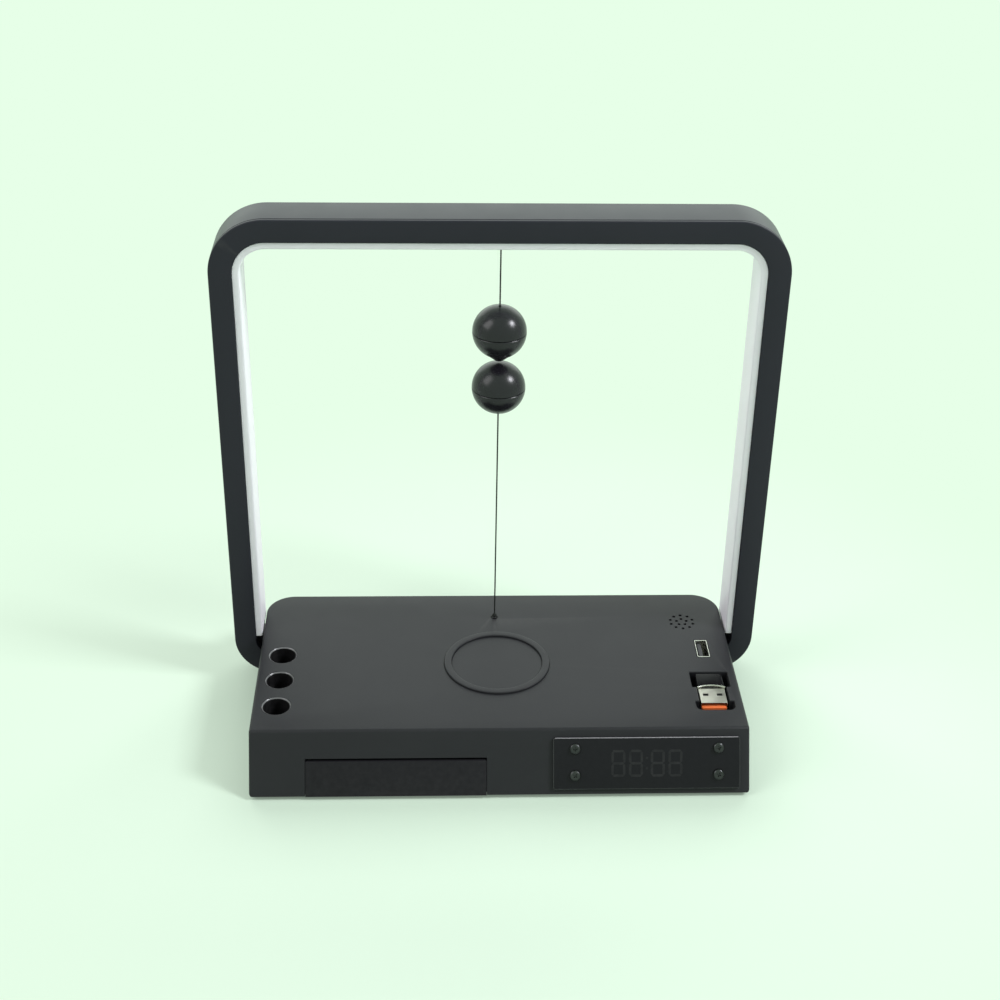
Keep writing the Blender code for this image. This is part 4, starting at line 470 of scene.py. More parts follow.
def pocket_end(name, front, back, corner):
    def outline(offset):
        half, radius = POCKET_WIDE + offset, corner + offset
        low, high = front - offset, back + offset
        points = bend(POCKET_X - half + radius, low + radius, radius, 180, 270, 8)
        points += bend(POCKET_X + half - radius, low + radius, radius, 270, 360, 8)
        small = 0.0004 + offset
        points += bend(POCKET_X + half - small, high - small, small, 0, 90, 3)
        return points + bend(POCKET_X - half + small, high - small, small, 90, 180, 3)
    return punch(name, outline, led_in(POCKET_FLOOR, BASE_TOP))


def pocket_throat(offset):
    low, high = POCKET_NECK - OVER, POCKET_SHOULDER + OVER
    half = POCKET_NARROW + offset
    return [(POCKET_X - half, low), (POCKET_X + half, low), (POCKET_X + half, high),
            (POCKET_X - half, high)]


top_tools = []
for y in WELL_YS:
    top_tools.append(punch("well_bore", lambda offset, y=y: circle(WELL_X, y, WELL_RADIUS + offset),
                           [(0.0, BASE_LOW - OVER), (0.0, BASE_TOP - 0.0006),
                            (0.0002, BASE_TOP - 0.00035), (0.0006, BASE_TOP),
                            (0.0006, BASE_TOP + OVER)]))
under_top = BASE_TOP - TOP_WALL - OVER
top_tools.append(punch("thread_bore",
                       lambda offset: circle(0.0, THREAD_Y, THREAD_HOLE + offset, 24),
                       led_in(under_top, BASE_TOP, 0.00012)))
top_tools.append(punch("socket_slot", lambda offset: rounded(
    SOCKET_HALF[0] + FIT + offset, SOCKET_HALF[1] + FIT + offset, 0.0005 + offset, 4,
    (SOCKET_X, SOCKET_Y)), led_in(under_top, BASE_TOP)))
top_tools.append(pocket_end("finger_end", POCKET_FRONT, POCKET_NECK, POCKET_FINGER))
top_tools.append(pocket_end("body_end", POCKET_SHOULDER, POCKET_BACK, 0.0004))
top_tools.append(perforation_cutters("grille_drills", SOUNDER_X, SOUNDER_Y, under_top,
                                     BASE_TOP + OVER, GRILLE_HOLE))
ring_inner, ring_outer = RING_OUTER - RING_WIDTH - FIT, RING_OUTER + FIT
top_tools.append(turned("ring_groove", [(radius, z) for radius, z in (
    (ring_inner, BASE_TOP + OVER), (ring_outer, BASE_TOP + OVER),
    (ring_outer, BASE_TOP - RING_SEAT), (ring_inner, BASE_TOP - RING_SEAT))], 0.0, RING_Y, 96))
housing = worked(housing, gathered("top_tools", top_tools))
housing = worked(housing, punch("pocket_throat", pocket_throat, led_in(POCKET_FLOOR, BASE_TOP)))

mouth = [(DRAWER_LEFT, DRAWER_DOWN), (DRAWER_RIGHT, DRAWER_DOWN),
         (DRAWER_RIGHT, FRONT_LENGTH + OVER), (DRAWER_LEFT, FRONT_LENGTH + OVER)]
window = rounded(DISPLAY_SIZE[0] / 2 + 0.0003, DISPLAY_SIZE[1] / 2 + 0.0003, 0.0005, 4,
                 (DISPLAY_X, DISPLAY_DOWN + DISPLAY_SIZE[1] / 2))
front_tools = [skinned("drawer_mouth", [leaning(mouth, out) for out in (-0.0042, 0.0042)]),
               skinned("display_window", [leaning(window, out) for out in (-0.0042, 0.0042)])]
housing = worked(housing, gathered("front_tools", front_tools))
through_back = led_in(BACK - SIDE_WALL - OVER, BACK)
back_tools = [skinned("button_bore", [standing(circle(x, BUTTON_Z, BUTTON_HOLE + offset, 32), y)
                                      for offset, y in through_back]) for x in BUTTON_XS]
back_tools.append(skinned("inlet_bore", [
    standing(rounded(INLET_HALF[0] + FIT + offset, INLET_HALF[1] + FIT + offset, 0.0016 + offset, 8,
                     (INLET_X, INLET_Z)), y) for offset, y in through_back]))
housing = worked(housing, gathered("back_tools", back_tools))

FRAME_LOW, FRAME_HIGH, FRAME_HALF, FRAME_BAR = 0.0033, 0.2281, 0.121, 0.00985
FRAME_CORNER, FRAME_FOOT_CORNER = 0.024, 0.019


def frame_stations(steps=24, low=None):
    """Places along the frame's outer edge, each with its outward direction across and up. They
    run right round, or only along the legs and the top where a low end is given."""
    corners = [(1, FRAME_HIGH, -1, FRAME_CORNER, 0), (-1, FRAME_HIGH, -1, FRAME_CORNER, 90)]
    if low is None:
        corners += [(-1, FRAME_LOW, 1, FRAME_FOOT_CORNER, 180),
                    (1, FRAME_LOW, 1, FRAME_FOOT_CORNER, 270)]
    stations = [] if low is None else [(FRAME_HALF, low, 1.0, 0.0)]
    for side, level, inward, radius, start in corners:
        across, up = side * (FRAME_HALF - radius), level + inward * radius
        for step in range(steps + 1):
            angle = math.radians(start + 90 * step / steps)
            away = (math.cos(angle), math.sin(angle))
            stations.append((across + radius * away[0], up + radius * away[1], *away))
    return stations if low is None else stations + [(-FRAME_HALF, low, -1.0, 0.0)]


def swept(name, stations, profile, endless=False):
    """A profile of inset and depth carried along the frame."""
    return skinned(name, [[Vector((x - ax * inset, y, z - az * inset)) for inset, y in profile]
                          for x, z, ax, az in stations], endless)


NOTCH_FIT, NOTCH_RISE = 0.0003, 0.0082
notch_front, notch_back = FRAME_FRONT - NOTCH_FIT, FRAME_BACK + NOTCH_FIT
notch = [(-NOTCH_FIT, notch_front), (FRAME_BAR + NOTCH_FIT, notch_front),
         (FRAME_BAR + NOTCH_FIT, notch_back), (-NOTCH_FIT, notch_back)]
housing = worked(housing, swept("frame_notch", frame_stations(), notch, True))
notch_mouth = [(-FRAME_HALF, notch_front), (FRAME_HALF, notch_front), (FRAME_HALF, notch_back),
               (-FRAME_HALF, notch_back)]
housing = worked(housing, skinned("notch_mouth", [lying(notch_mouth, z)
                                                  for z in (BASE_LOW - OVER, NOTCH_RISE)]))
fitted(housing, housing_look, "lamp", "housing_plastic", "base_housing")
BEVEL_CREASE = math.radians(12)
housing.data.set_sharp_from_angle(angle=BEVEL_CREASE)

# Each pen well has a thin near-black sleeve pressed in below its mouth, a painted shade for the
# dark inside of the bore.
# The mouth's chamfer has a thin paler rim in the same plastic, a painted highlight along its edge.
# The rim's pale colour is a painted highlight on the well's chamfer.
rim_highlight_look = moulded_plastic("painted_highlight_rim", (0.110, 0.112, 0.115), (0.200, 0.203, 0.206), 0.26,
                           0.0003, 0.000004, gleam=0.5)
SLEEVE_CLEAR, SLEEVE_WALL, SLEEVE_LOW, SLEEVE_HIGH = 0.00002, 0.00018, 0.0034, BASE_TOP - 0.0007
rims = [turned("well_rim", [(WELL_RADIUS - SLEEVE_CLEAR, BASE_TOP - 0.0006),
                            (WELL_RADIUS + 0.00016, BASE_TOP - 0.00033),
                            (WELL_RADIUS + 0.00042, BASE_TOP - 0.0001),
                            (WELL_RADIUS + 0.00050, BASE_TOP - 0.0002),
                            (WELL_RADIUS + 0.00022, BASE_TOP - 0.00046)], WELL_X, y, 64)
        for y in WELL_YS]
fitted(gathered("well_rims", rims), rim_highlight_look, "lamp", "housing_plastic")
# The sleeve's near-black colour is painted shade inside the well.
well_shade_look = moulded_plastic("well_sleeve", (0.0030, 0.0030, 0.0034),
                              (0.0045, 0.0045, 0.0050), 0.5, gleam=0.05)
outside = WELL_RADIUS - SLEEVE_CLEAR
sleeve_profile = [(outside, SLEEVE_LOW), (outside, SLEEVE_HIGH),
                  (outside - SLEEVE_WALL, SLEEVE_HIGH), (outside - SLEEVE_WALL, SLEEVE_LOW)]
sleeves = [turned("well_sleeve", sleeve_profile, WELL_X, y, 48) for y in WELL_YS]
fitted(gathered("well_sleeves", sleeves), well_shade_look, "lamp", "housing_plastic")

# The bottom cover is a flat moulding in the same plastic, a shade coarser, with the drawer's
# runners on it. Four rubber feet are stuck in round seats under it.
cover_look = moulded_plastic("cover_plastic", (0.0250, 0.0245, 0.0280), (0.032, 0.0315, 0.036),
                             0.52, 0.0005, 0.00002)
dressed(cover_look, "bottom_cover")
rubber_look = moulded_plastic("foot_rubber", (0.012, 0.012, 0.012), (0.022, 0.022, 0.021), 0.82,
                              0.0003, 0.00003, 0.08, (0.05, 0.05, 0.048), 0.6)
FOOT_XS, FOOT_YS, FOOT_RADIUS = (-0.0905, 0.0905), (-0.04955, 0.04315), 0.006
for index, (x, y) in enumerate([(x, y) for x in FOOT_XS for y in FOOT_YS], start=1):
    foot = turned(f"foot_{index}", [
        (0.0, 0.0021), (FOOT_RADIUS, 0.0021), (FOOT_RADIUS, 0.0006), (0.00585, 0.0003),
        (0.0056, 0.0001), (0.0052, 0.0), (0.0046, 0.0), (0.0044, 0.00015), (0.0040, 0.00015),
        (0.0038, 0.0), (0.0, 0.0)], x, y, 40)
    fitted(foot, rubber_look, "lamp", "foot_rubber", f"rubber_foot_{index}")


# The frame is a rear channel and a flat front cover in black plastic, joined at a fine seam
# all round. It drops into slots in the base's side walls and is screwed from below.
frame_look = moulded_plastic("frame_plastic", (0.0215, 0.0220, 0.0300), (0.0260, 0.0265, 0.0360),
                             0.39, 0.0003, 0.000008, 0.015)
COVER_BACK, CHANNEL_FRONT, CHANNEL_WALL = 0.03075, 0.03105, 0.0015
LIGHT_END = 0.02375


BACK_EDGE, OUTER_EDGE, INNER_EDGE, SEAM_EDGE = 0.0012, 0.0006, 0.0004, 0.00025
channel_profile = [(SEAM_EDGE, CHANNEL_FRONT), (0.0, CHANNEL_FRONT + SEAM_EDGE)]
channel_profile += bend(BACK_EDGE, FRAME_BACK - BACK_EDGE, BACK_EDGE, 180, 90, 5)
channel_profile += bend(FRAME_BAR - 0.0006, FRAME_BACK - 0.0006, 0.0006, 90, 0, 4)
channel_profile += [(FRAME_BAR, CHANNEL_FRONT + 0.00012), (FRAME_BAR - 0.00012, CHANNEL_FRONT)]
channel = swept("frame_rear_channel", frame_stations(28), channel_profile, True)
groove = [(CHANNEL_WALL, CHANNEL_FRONT - OVER), (FRAME_BAR + OVER, CHANNEL_FRONT - OVER),
          (FRAME_BAR + OVER, FRAME_BACK - CHANNEL_WALL), (CHANNEL_WALL, FRAME_BACK - CHANNEL_WALL)]
channel = worked(channel, swept("light_groove", frame_stations(28, LIGHT_END), groove))
fitted(channel, frame_look, "lamp", "frame_plastic", "frame_channel")

front_profile = [(0.0, COVER_BACK - SEAM_EDGE)]
front_profile += bend(OUTER_EDGE, FRAME_FRONT + OUTER_EDGE, OUTER_EDGE, 180, 270, 5)
front_profile += bend(FRAME_BAR - INNER_EDGE, FRAME_FRONT + INNER_EDGE, INNER_EDGE, 270, 360, 4)
front_profile += [(FRAME_BAR, COVER_BACK - 0.0001), (FRAME_BAR - 0.0001, COVER_BACK),
                  (SEAM_EDGE, COVER_BACK)]
front_cover = swept("frame_cover", frame_stations(28), front_profile, True)
fitted(front_cover, frame_look, "lamp", "frame_plastic", "frame_front_cover")

# The light bar's diffuser is an opal white strip that closes the channel along both legs
# and the top. The chips on their strip lie behind it, and a white post takes the thread.
DIFFUSER_OUTER, DIFFUSER_FACE, DIFFUSER_LIP = 0.00835, 0.0129, 0.0296
diffuser_look = moulded_plastic("diffuser_white", (0.91, 0.89, 0.99), (0.95, 0.93, 1.0), 0.38,
                                0.0006, 0.000004, 0.04, (0.75, 0.78, 0.80), 0.2)
diffuser_look.node_tree.nodes["Principled BSDF"].inputs["Subsurface Weight"].default_value = 0.6
diffuser_look.node_tree.nodes["Principled BSDF"].inputs["Subsurface Radius"].default_value = (
    0.004, 0.004, 0.004)
DIFFUSER_BACK = FRAME_BACK - CHANNEL_WALL - 0.0003
lip_root, lip_round = FRAME_BAR + 0.0001, 0.0008
diffuser_profile = [(lip_root, CHANNEL_FRONT), (DIFFUSER_OUTER, CHANNEL_FRONT),
                    (DIFFUSER_OUTER, DIFFUSER_BACK)]
round_middle = DIFFUSER_FACE - lip_round
diffuser_profile += bend(round_middle, DIFFUSER_BACK - lip_round, lip_round, 90, 0, 5)
diffuser_profile += bend(round_middle, DIFFUSER_LIP + lip_round, lip_round, 360, 270, 5)
diffuser_profile += [(lip_root, DIFFUSER_LIP)]
diffuser = swept("light_diffuser", frame_stations(28, LIGHT_END + 0.0003), diffuser_profile)
diffuser = worked(diffuser, skinned("post_bore", [
    lying(circle(0.0, THREAD_Y, radius, 32), z)
    for radius, z in ((0.0060, 0.2149), (0.0058, 0.2152), (0.0030, 0.2165), (0.0025, 0.2202))]))
fitted(diffuser, diffuser_look, "lamp", "diffuser_white", "frame_diffuser")
led_look = moulded_plastic("led_white", (0.62, 0.62, 0.58), (0.72, 0.70, 0.60), 0.5)
dressed(led_look, "led_strip")
post_look = moulded_plastic("post_white", (0.62, 0.67, 0.72), (0.68, 0.72, 0.76), 0.4)
POST_FACE = 0.21725
post_profile = [(0.0, 0.2263), (0.0022, 0.2263), (0.0022, POST_FACE + 0.0003),
                (0.0019, POST_FACE), (0.0017, POST_FACE), (0.0015, POST_FACE + 0.0002),
                (0.0015, POST_FACE + 0.003), (0.0, POST_FACE + 0.003)]
post = turned("thread_post", post_profile, 0.0, THREAD_Y, 32)
fitted(post, post_look, "lamp", "post_white", "upper_thread_post")

# The charging ring is a raised rubbery ring glued in a groove of the top. The wound coil of
# enamelled copper wire lies under it against the ceiling, on its ferrite disc.
ring_look = moulded_plastic("ring_plastic", (0.0220, 0.0223, 0.0250),
                            (0.0260, 0.0265, 0.0292), 0.43, 0.0003, 0.000006)
RING_LOW, RING_HIGH, RING_ROUND = 0.0262, 0.0277, 0.0005
ring_inside = RING_OUTER - RING_WIDTH
ring_profile = [(ring_inside, RING_LOW)]
ring_profile += bend(ring_inside + RING_ROUND, RING_HIGH - RING_ROUND, RING_ROUND, 180, 90, 5)
ring_profile += bend(RING_OUTER - RING_ROUND, RING_HIGH - RING_ROUND, RING_ROUND, 90, 0, 5)
ring_profile += [(RING_OUTER, RING_LOW)]
charging_ring = turned("raised_ring", ring_profile, 0.0, RING_Y, 128)
fitted(charging_ring, ring_look, "lamp", "ring_plastic", "charging_ring")

COIL_INNER, COIL_PITCH, COIL_TURNS, WIRE_RADIUS = 0.0095, 0.0015, 8, 0.0005
COIL_LEVEL = BASE_TOP - TOP_WALL - 0.0003 - WIRE_RADIUS
COIL_LEAD, LEAD_INNER, LEAD_OUTER = 0.0018, 0.0077, 0.0240


def tube(name, points, radius, sides=10):
    """A round tube along a line of points, closed at both ends."""
    rings = []
    side = None
    for index, point in enumerate(points):
        before, after = points[max(index - 1, 0)], points[min(index + 1, len(points) - 1)]
        along = (after - before).normalized()
        if side is None:
            side = along.orthogonal().normalized()
        side = (side - along * side.dot(along)).normalized()
        other = along.cross(side)
        rings.append([point + radius * (math.cos(2 * math.pi * i / sides) * side
                                        + math.sin(2 * math.pi * i / sides) * other)
                      for i in range(sides)])
    return skinned(name, rings)


wire = [Vector((LEAD_INNER, RING_Y, COIL_LEVEL - COIL_LEAD)),
        Vector((LEAD_INNER, RING_Y, COIL_LEVEL))]
for step in range(COIL_TURNS * 48 + 1):
    angle = 2 * math.pi * step / 48
    reach = COIL_INNER + COIL_PITCH * step / 48
    wire.append(Vector((reach * math.cos(angle), RING_Y + reach * math.sin(angle), COIL_LEVEL)))
wire += [Vector((LEAD_OUTER, RING_Y + COIL_PITCH, COIL_LEVEL)),
         Vector((LEAD_OUTER, RING_Y + COIL_PITCH, COIL_LEVEL - COIL_LEAD))]


def bright_metal(name, tone, lighter, roughness, brushed=0.00008, depth=0.000002, spread=0.06):
    """Metal: fine drawing marks in one direction, blotchy tone and uneven polish."""
    look = bpy.data.materials.new(name)
    look.use_nodes = True
    tree = look.node_tree
    shader = tree.nodes["Principled BSDF"]
    shader.inputs["Metallic"].default_value = 1.0
    place = added(tree, "ShaderNodeTexCoord")
    blotches = added(tree, "ShaderNodeTexNoise", {"Scale": 320.0, "Detail": 5.0})
    blend = added(tree, "ShaderNodeMix", data_type="RGBA")
    blend.inputs["A"].default_value = (*tone, 1.0)
    blend.inputs["B"].default_value = (*lighter, 1.0)
    gloss = added(tree, "ShaderNodeMapRange", {"From Min": 0.3, "From Max": 0.7, "To Min":
                                               roughness - spread, "To Max": roughness + spread})
    stretch = added(tree, "ShaderNodeMapping", {"Scale": (1.0, 0.04, 1.0)})
    marks = added(tree, "ShaderNodeTexNoise", {"Scale": 1.0 / brushed, "Detail": 2.0})
    bump = added(tree, "ShaderNodeBump", {"Strength": 0.4, "Distance": depth})
    joined(tree, (place, "Object", blotches, "Vector"), (blotches, "Fac", blend, "Factor"),
           (blotches, "Fac", gloss, "Value"), (gloss, "Result", shader, "Roughness"),
           (place, "Object", stretch, "Vector"), (stretch, "Vector", marks, "Vector"),
           (marks, "Fac", bump, "Height"), (bump, "Normal", shader, "Normal"))
    tree.links.new(blend.outputs["Result"], shader.inputs["Base Color"])
    return look


copper_look = bright_metal("copper_wire", (0.62, 0.24, 0.10), (0.75, 0.34, 0.16), 0.32)
fitted(tube("wound_coil", wire, WIRE_RADIUS), copper_look, "lamp", "copper_wire", "charging_coil")
ferrite_look = moulded_plastic("ferrite", (0.045, 0.045, 0.047), (0.075, 0.075, 0.078), 0.7,
                               0.0002, 0.00002)
dressed(ferrite_look, "coil_ferrite")

# The circuit boards are glass fibre with a green solder mask. The sounder is a black
# plastic can that shows a little through its holes.
board_look = moulded_plastic("circuit_board", (0.008, 0.075, 0.030), (0.014, 0.115, 0.045), 0.42,
                             0.0004, 0.00001, 0.08, (0.12, 0.20, 0.10), 0.4)
dressed(board_look, "main_circuit_board", "inlet_board", "power_board", "clock_board",
        "button_board")
black_look = moulded_plastic("black_plastic", (0.010, 0.010, 0.010), (0.018, 0.018, 0.018), 0.5)
dressed(black_look, "sounder", "pull_switch_body")

# The upright socket is a folded plated shell with a tongue along its left wall. The power
# inlet in the back wall is a rounded shell of the same kind.
plated_look = bright_metal("plated_metal", (0.66, 0.64, 0.61), (0.80, 0.78, 0.75), 0.26)
SOCKET_LOW, SHEET = 0.0120, 0.0003


def folded_lip(edge, inward=-1):
    """Offsets and levels over a sheet's rounded edge, from its outside to its inside."""
    return [(0.0, edge + inward * 0.00008), (-0.00006, edge), (-SHEET + 0.00006, edge),
            (-SHEET, edge + inward * 0.00008)]


def folded_shell(name, outline, levels):
    """A thin shell open at its last level: outside up, over the lip and down to its floor."""
    return skinned(name, [outline(offset, level) for offset, level in levels])


def socket_outline(offset, z):
    half = (SOCKET_HALF[0] + offset, SOCKET_HALF[1] + offset)
    return lying(rounded(half[0], half[1], 0.00055 + offset, 5, (SOCKET_X, SOCKET_Y)), z)


socket = folded_shell("upright_socket", socket_outline, [
    (0.0, SOCKET_LOW), *folded_lip(BASE_TOP), (-SHEET, SOCKET_LOW + 0.0008)])
fitted(socket, plated_look, "lamp", "plated_metal", "socket_shell")
grey_look = moulded_plastic("tongue_grey", (0.030, 0.032, 0.034), (0.050, 0.052, 0.055), 0.4)
tongue_half = (0.0009, 0.00555)
tongue_rings = [lying(rounded(tongue_half[0] + offset, tongue_half[1] + offset, 0.0003 + offset, 3,
                              (0.0941, SOCKET_Y)), z)
                for offset, z in ((0.0, 0.0131), (0.0, 0.0254), (-0.0001, 0.0256))]
fitted(skinned("socket_tongue_bar", tongue_rings), grey_look, "lamp", "tongue_grey",
       "socket_tongue")


def inlet_outline(offset, y):
    return standing(rounded(INLET_HALF[0] + offset, INLET_HALF[1] + offset, 0.0015 + offset, 8,
                            (INLET_X, INLET_Z)), y)


inlet_back = BACK - 0.0003
inlet = folded_shell("inlet_shell", inlet_outline, [
    (0.0, inlet_back - 0.007), *folded_lip(inlet_back), (-SHEET, inlet_back - 0.0062)])
fitted(inlet, plated_look, "lamp", "plated_metal", "power_inlet")
inlet_tongue = skinned("inlet_tongue_bar", [
    standing(rounded(0.00335 + offset, 0.00035 + offset, 0.00025 + offset, 3,
                     (INLET_X, INLET_Z)), y)
    for offset, y in ((0.0, 0.052825), (0.0, 0.0577), (-0.0001, 0.05785))])
fitted(inlet_tongue, black_look, "lamp", "black_plastic", "power_inlet_tongue")

# The clock is a smoked glossy window plate screwed on the slanted front. Its digits are off,
# so only the faint shapes of the unlit segments show.
PANEL_HALF = (0.0403, 0.01115)
PANEL_LOW, PANEL_HIGH = 0.00015, 0.00135
panel_middle = (PANEL_X, PANEL_DOWN + PANEL_HALF[1])
panel_look = moulded_plastic("smoked_panel", (0.0075, 0.0072, 0.0098), (0.0095, 0.0090, 0.0120),
                             0.16, 0.002, 0.000003, 0.05, (0.10, 0.10, 0.11), 0.8, 0.16)


def panel_outline(offset, out):
    return leaning(rounded(PANEL_HALF[0] + offset, PANEL_HALF[1] + offset, 0.001 + offset, 6,
                           panel_middle), out)


panel = skinned("clock_window_plate", [
    panel_outline(0.0, PANEL_LOW), panel_outline(0.0, PANEL_HIGH - 0.0004),
    panel_outline(-0.00012, PANEL_HIGH - 0.00012), panel_outline(-0.0004, PANEL_HIGH)])
fitted(panel, panel_look, "lamp", "smoked_panel", "clock_panel")

# The plate's bevel is paler than the plate all round, a painted faint highlight along its edges.
edge_look = moulded_plastic("plate_edge_painted_sheen", (0.024, 0.025, 0.027), (0.040, 0.041, 0.044), 0.16,
                            0.0002, 0.000002, gleam=0.5)
edge_rings = [panel_outline(offset, PANEL_HIGH + out) for offset, out in (
    (0.00001, -0.00032), (-0.0001, -0.00005), (-0.00028, 0.00001), (-0.0003, -0.0002))]
fitted(skinned("clock_plate_edge", edge_rings, True), edge_look, "lamp", "smoked_panel")
# The top bevel gets a much paler strip, a painted highlight where the light from above catches that
# edge.
top_edge_highlight_look = moulded_plastic("painted_highlight_edge", (0.26, 0.26, 0.27), (0.36, 0.36, 0.37), 0.16,
                                0.0002, 0.000002, gleam=0.5)
edge_reach = PANEL_HALF[0] - 0.0009
top_edge_highlight = skinned("clock_plate_top_edge", [
    [on_front(PANEL_X + side * edge_reach, PANEL_DOWN + down, PANEL_HIGH + out)
     for down, out in ((-0.00003, -0.00032), (0.00009, -0.00002), (0.0003, 0.00003),
                       (0.0003, -0.0002))]
    for side in (-1, 1)])
fitted(top_edge_highlight, top_edge_highlight_look, "lamp", "smoked_panel")

segment_look = moulded_plastic("unlit_segments", (0.0070, 0.0067, 0.0092),
                               (0.0089, 0.0084, 0.0113), 0.165, gleam=0.16)
DIGIT_WIDTH, DIGIT_HEIGHT, DIGIT_PITCH, SEGMENT = 0.0050, 0.0106, 0.0076, 0.0011
SEGMENT_LEVELS = (PANEL_HIGH - 0.0001, PANEL_HIGH + 0.00002)
COLON_RISE, COLON_RADIUS = 0.0022, 0.0006
digit_down = PANEL_DOWN + PANEL_HALF[1]


def segment(across, down, length, lying_flat):
    """One six-sided segment of a digit, barely proud of the plate."""
    half, side = length / 2, SEGMENT / 2
    outline = [(-half, 0.0), (-half + side, -side), (half - side, -side), (half, 0.0),
               (half - side, side), (-half + side, side)]
    points = [(across + (a if lying_flat else b), down + (b if lying_flat else a))
              for a, b in outline]
    return skinned("segment", [leaning(points, out) for out in SEGMENT_LEVELS])


segments = []
for index in range(4):
    across = PANEL_X + (index - 1.5) * DIGIT_PITCH + (0.0009 if index > 1 else -0.0009)
    for row in (-1, 0, 1):
        segments.append(segment(across, digit_down + row * DIGIT_HEIGHT / 2, DIGIT_WIDTH, True))
    for side in (-1, 1):
        for half in (-1, 1):
            segments.append(segment(across + side * DIGIT_WIDTH / 2,
                                    digit_down + half * DIGIT_HEIGHT / 4,
                                    DIGIT_HEIGHT / 2 - 0.0003, False))
for half in (-1, 1):
    dot = circle(PANEL_X, digit_down + half * COLON_RISE, COLON_RADIUS, 12)
    segments.append(skinned("colon", [leaning(dot, out) for out in SEGMENT_LEVELS]))
fitted(gathered("unlit_digits", segments), segment_look, "lamp", "smoked_panel")
display_look = moulded_plastic("display_black", (0.008, 0.008, 0.008), (0.014, 0.014, 0.014), 0.4)
dressed(display_look, "clock_display")

# All screws are blackened or zinc-plated steel with a cross recess, driven into bosses. Each
# kind is one head turned and cut once, then set at its places.
screw_look = bright_metal("screw_steel", (0.36, 0.35, 0.34), (0.50, 0.49, 0.47), 0.34)
panel_screw_look = bright_metal("panel_screw_steel", (0.036, 0.037, 0.039), (0.064, 0.064, 0.067),
                                0.30)


SCREW_SPIN = 0.9


def screw_form(name, profile, recess_top, recess_depth, reach, slot):
    """One screw, head up along +Z, with a cross recess cut in its head."""
    screw = turned(name, profile, 0.0, 0.0, 32)
    for turn in (0, 1):
        long_side, short_side = (reach, slot) if turn == 0 else (slot, reach)
        cutter = skinned("recess", [
            lying(rounded(long_side * share, short_side * share, slot * 0.3, 2), z)
            for share, z in ((0.55, recess_top - recess_depth), (1.0, recess_top + 0.001))])
        worked(screw, cutter)
    return screw


def set_screws(name, form, places, turn, look):
    """Geometry Nodes set one screw at every place, and the result is one plain mesh."""
    tree = bpy.data.node_groups.new(name, "GeometryNodeTree")
    for label, kind in (("Places", "Geometry"), ("Screw", "Object"), ("Lean", "Float"),
                        ("Finish", "Material")):
        node_input(tree, label, kind)
    tree.interface.new_socket("Geometry", in_out="OUTPUT", socket_type="NodeSocketGeometry")
    sizes = added(tree, "NodeGroupInput")
    shape = added(tree, "GeometryNodeObjectInfo")
    index = added(tree, "GeometryNodeInputIndex")
    spin = added(tree, "ShaderNodeMath", {1: SCREW_SPIN}, operation="MULTIPLY")
    driven = added(tree, "ShaderNodeCombineXYZ")
    leant = added(tree, "ShaderNodeCombineXYZ")
    spread = added(tree, "GeometryNodeInstanceOnPoints")
    upright = added(tree, "GeometryNodeRotateInstances")
    turned_in = added(tree, "GeometryNodeRotateInstances")
    real = added(tree, "GeometryNodeRealizeInstances")
    coat = added(tree, "GeometryNodeSetMaterial")
    result = added(tree, "NodeGroupOutput")
    joined(tree, (sizes, "Screw", shape, "Object"), (index, "Index", spin, 0),
           (spin, 0, driven, "Z"), (sizes, "Lean", leant, "X"), (sizes, "Places", spread, "Points"),
           (shape, "Geometry", spread, "Instance"), (spread, "Instances", upright, "Instances"),
           (leant, "Vector", upright, "Rotation"), (upright, "Instances", turned_in, "Instances"),
           (driven, "Vector", turned_in, "Rotation"), (turned_in, "Instances", real, "Geometry"),
           (real, "Geometry", coat, "Geometry"), (sizes, "Finish", coat, "Material"),
           (coat, "Geometry", result, "Geometry"))
    mesh = bpy.data.meshes.new(name)
    mesh.from_pydata([tuple(place) for place in places], [], [])
    piece = grown(name, mesh, tree, {"Screw": form, "Lean": turn, "Finish": look})
    bpy.data.objects.remove(form)
    return piece


PANEL_SCREWS = [(x, down) for x in (0.0319, 0.0937) for down in (0.0085, 0.0200)]
seat = PANEL_HIGH + 0.00015
pan_profile = [(0.0, -0.0062), (0.0012, -0.0062), (0.0012, 0.0), (0.0022, 0.0), (0.0023, 0.0001),
               (0.0023, 0.0005), (0.00215, 0.0008), (0.00185, 0.00102), (0.0014, 0.00116),
               (0.0009, 0.0012), (0.0, 0.0012)]
pan_screw = screw_form("pan_screw", pan_profile, 0.0012, 0.0009, 0.00125, 0.00032)
panel_screws = set_screws("clock_plate_screws", pan_screw,
                          [on_front(x, down, seat) for x, down in PANEL_SCREWS],
                          math.pi / 2 - LEAN, panel_screw_look)
fitted(panel_screws, panel_screw_look, "lamp", "panel_screw_steel", "clock_panel_screw_1",
       "clock_panel_screw_2", "clock_panel_screw_3", "clock_panel_screw_4")

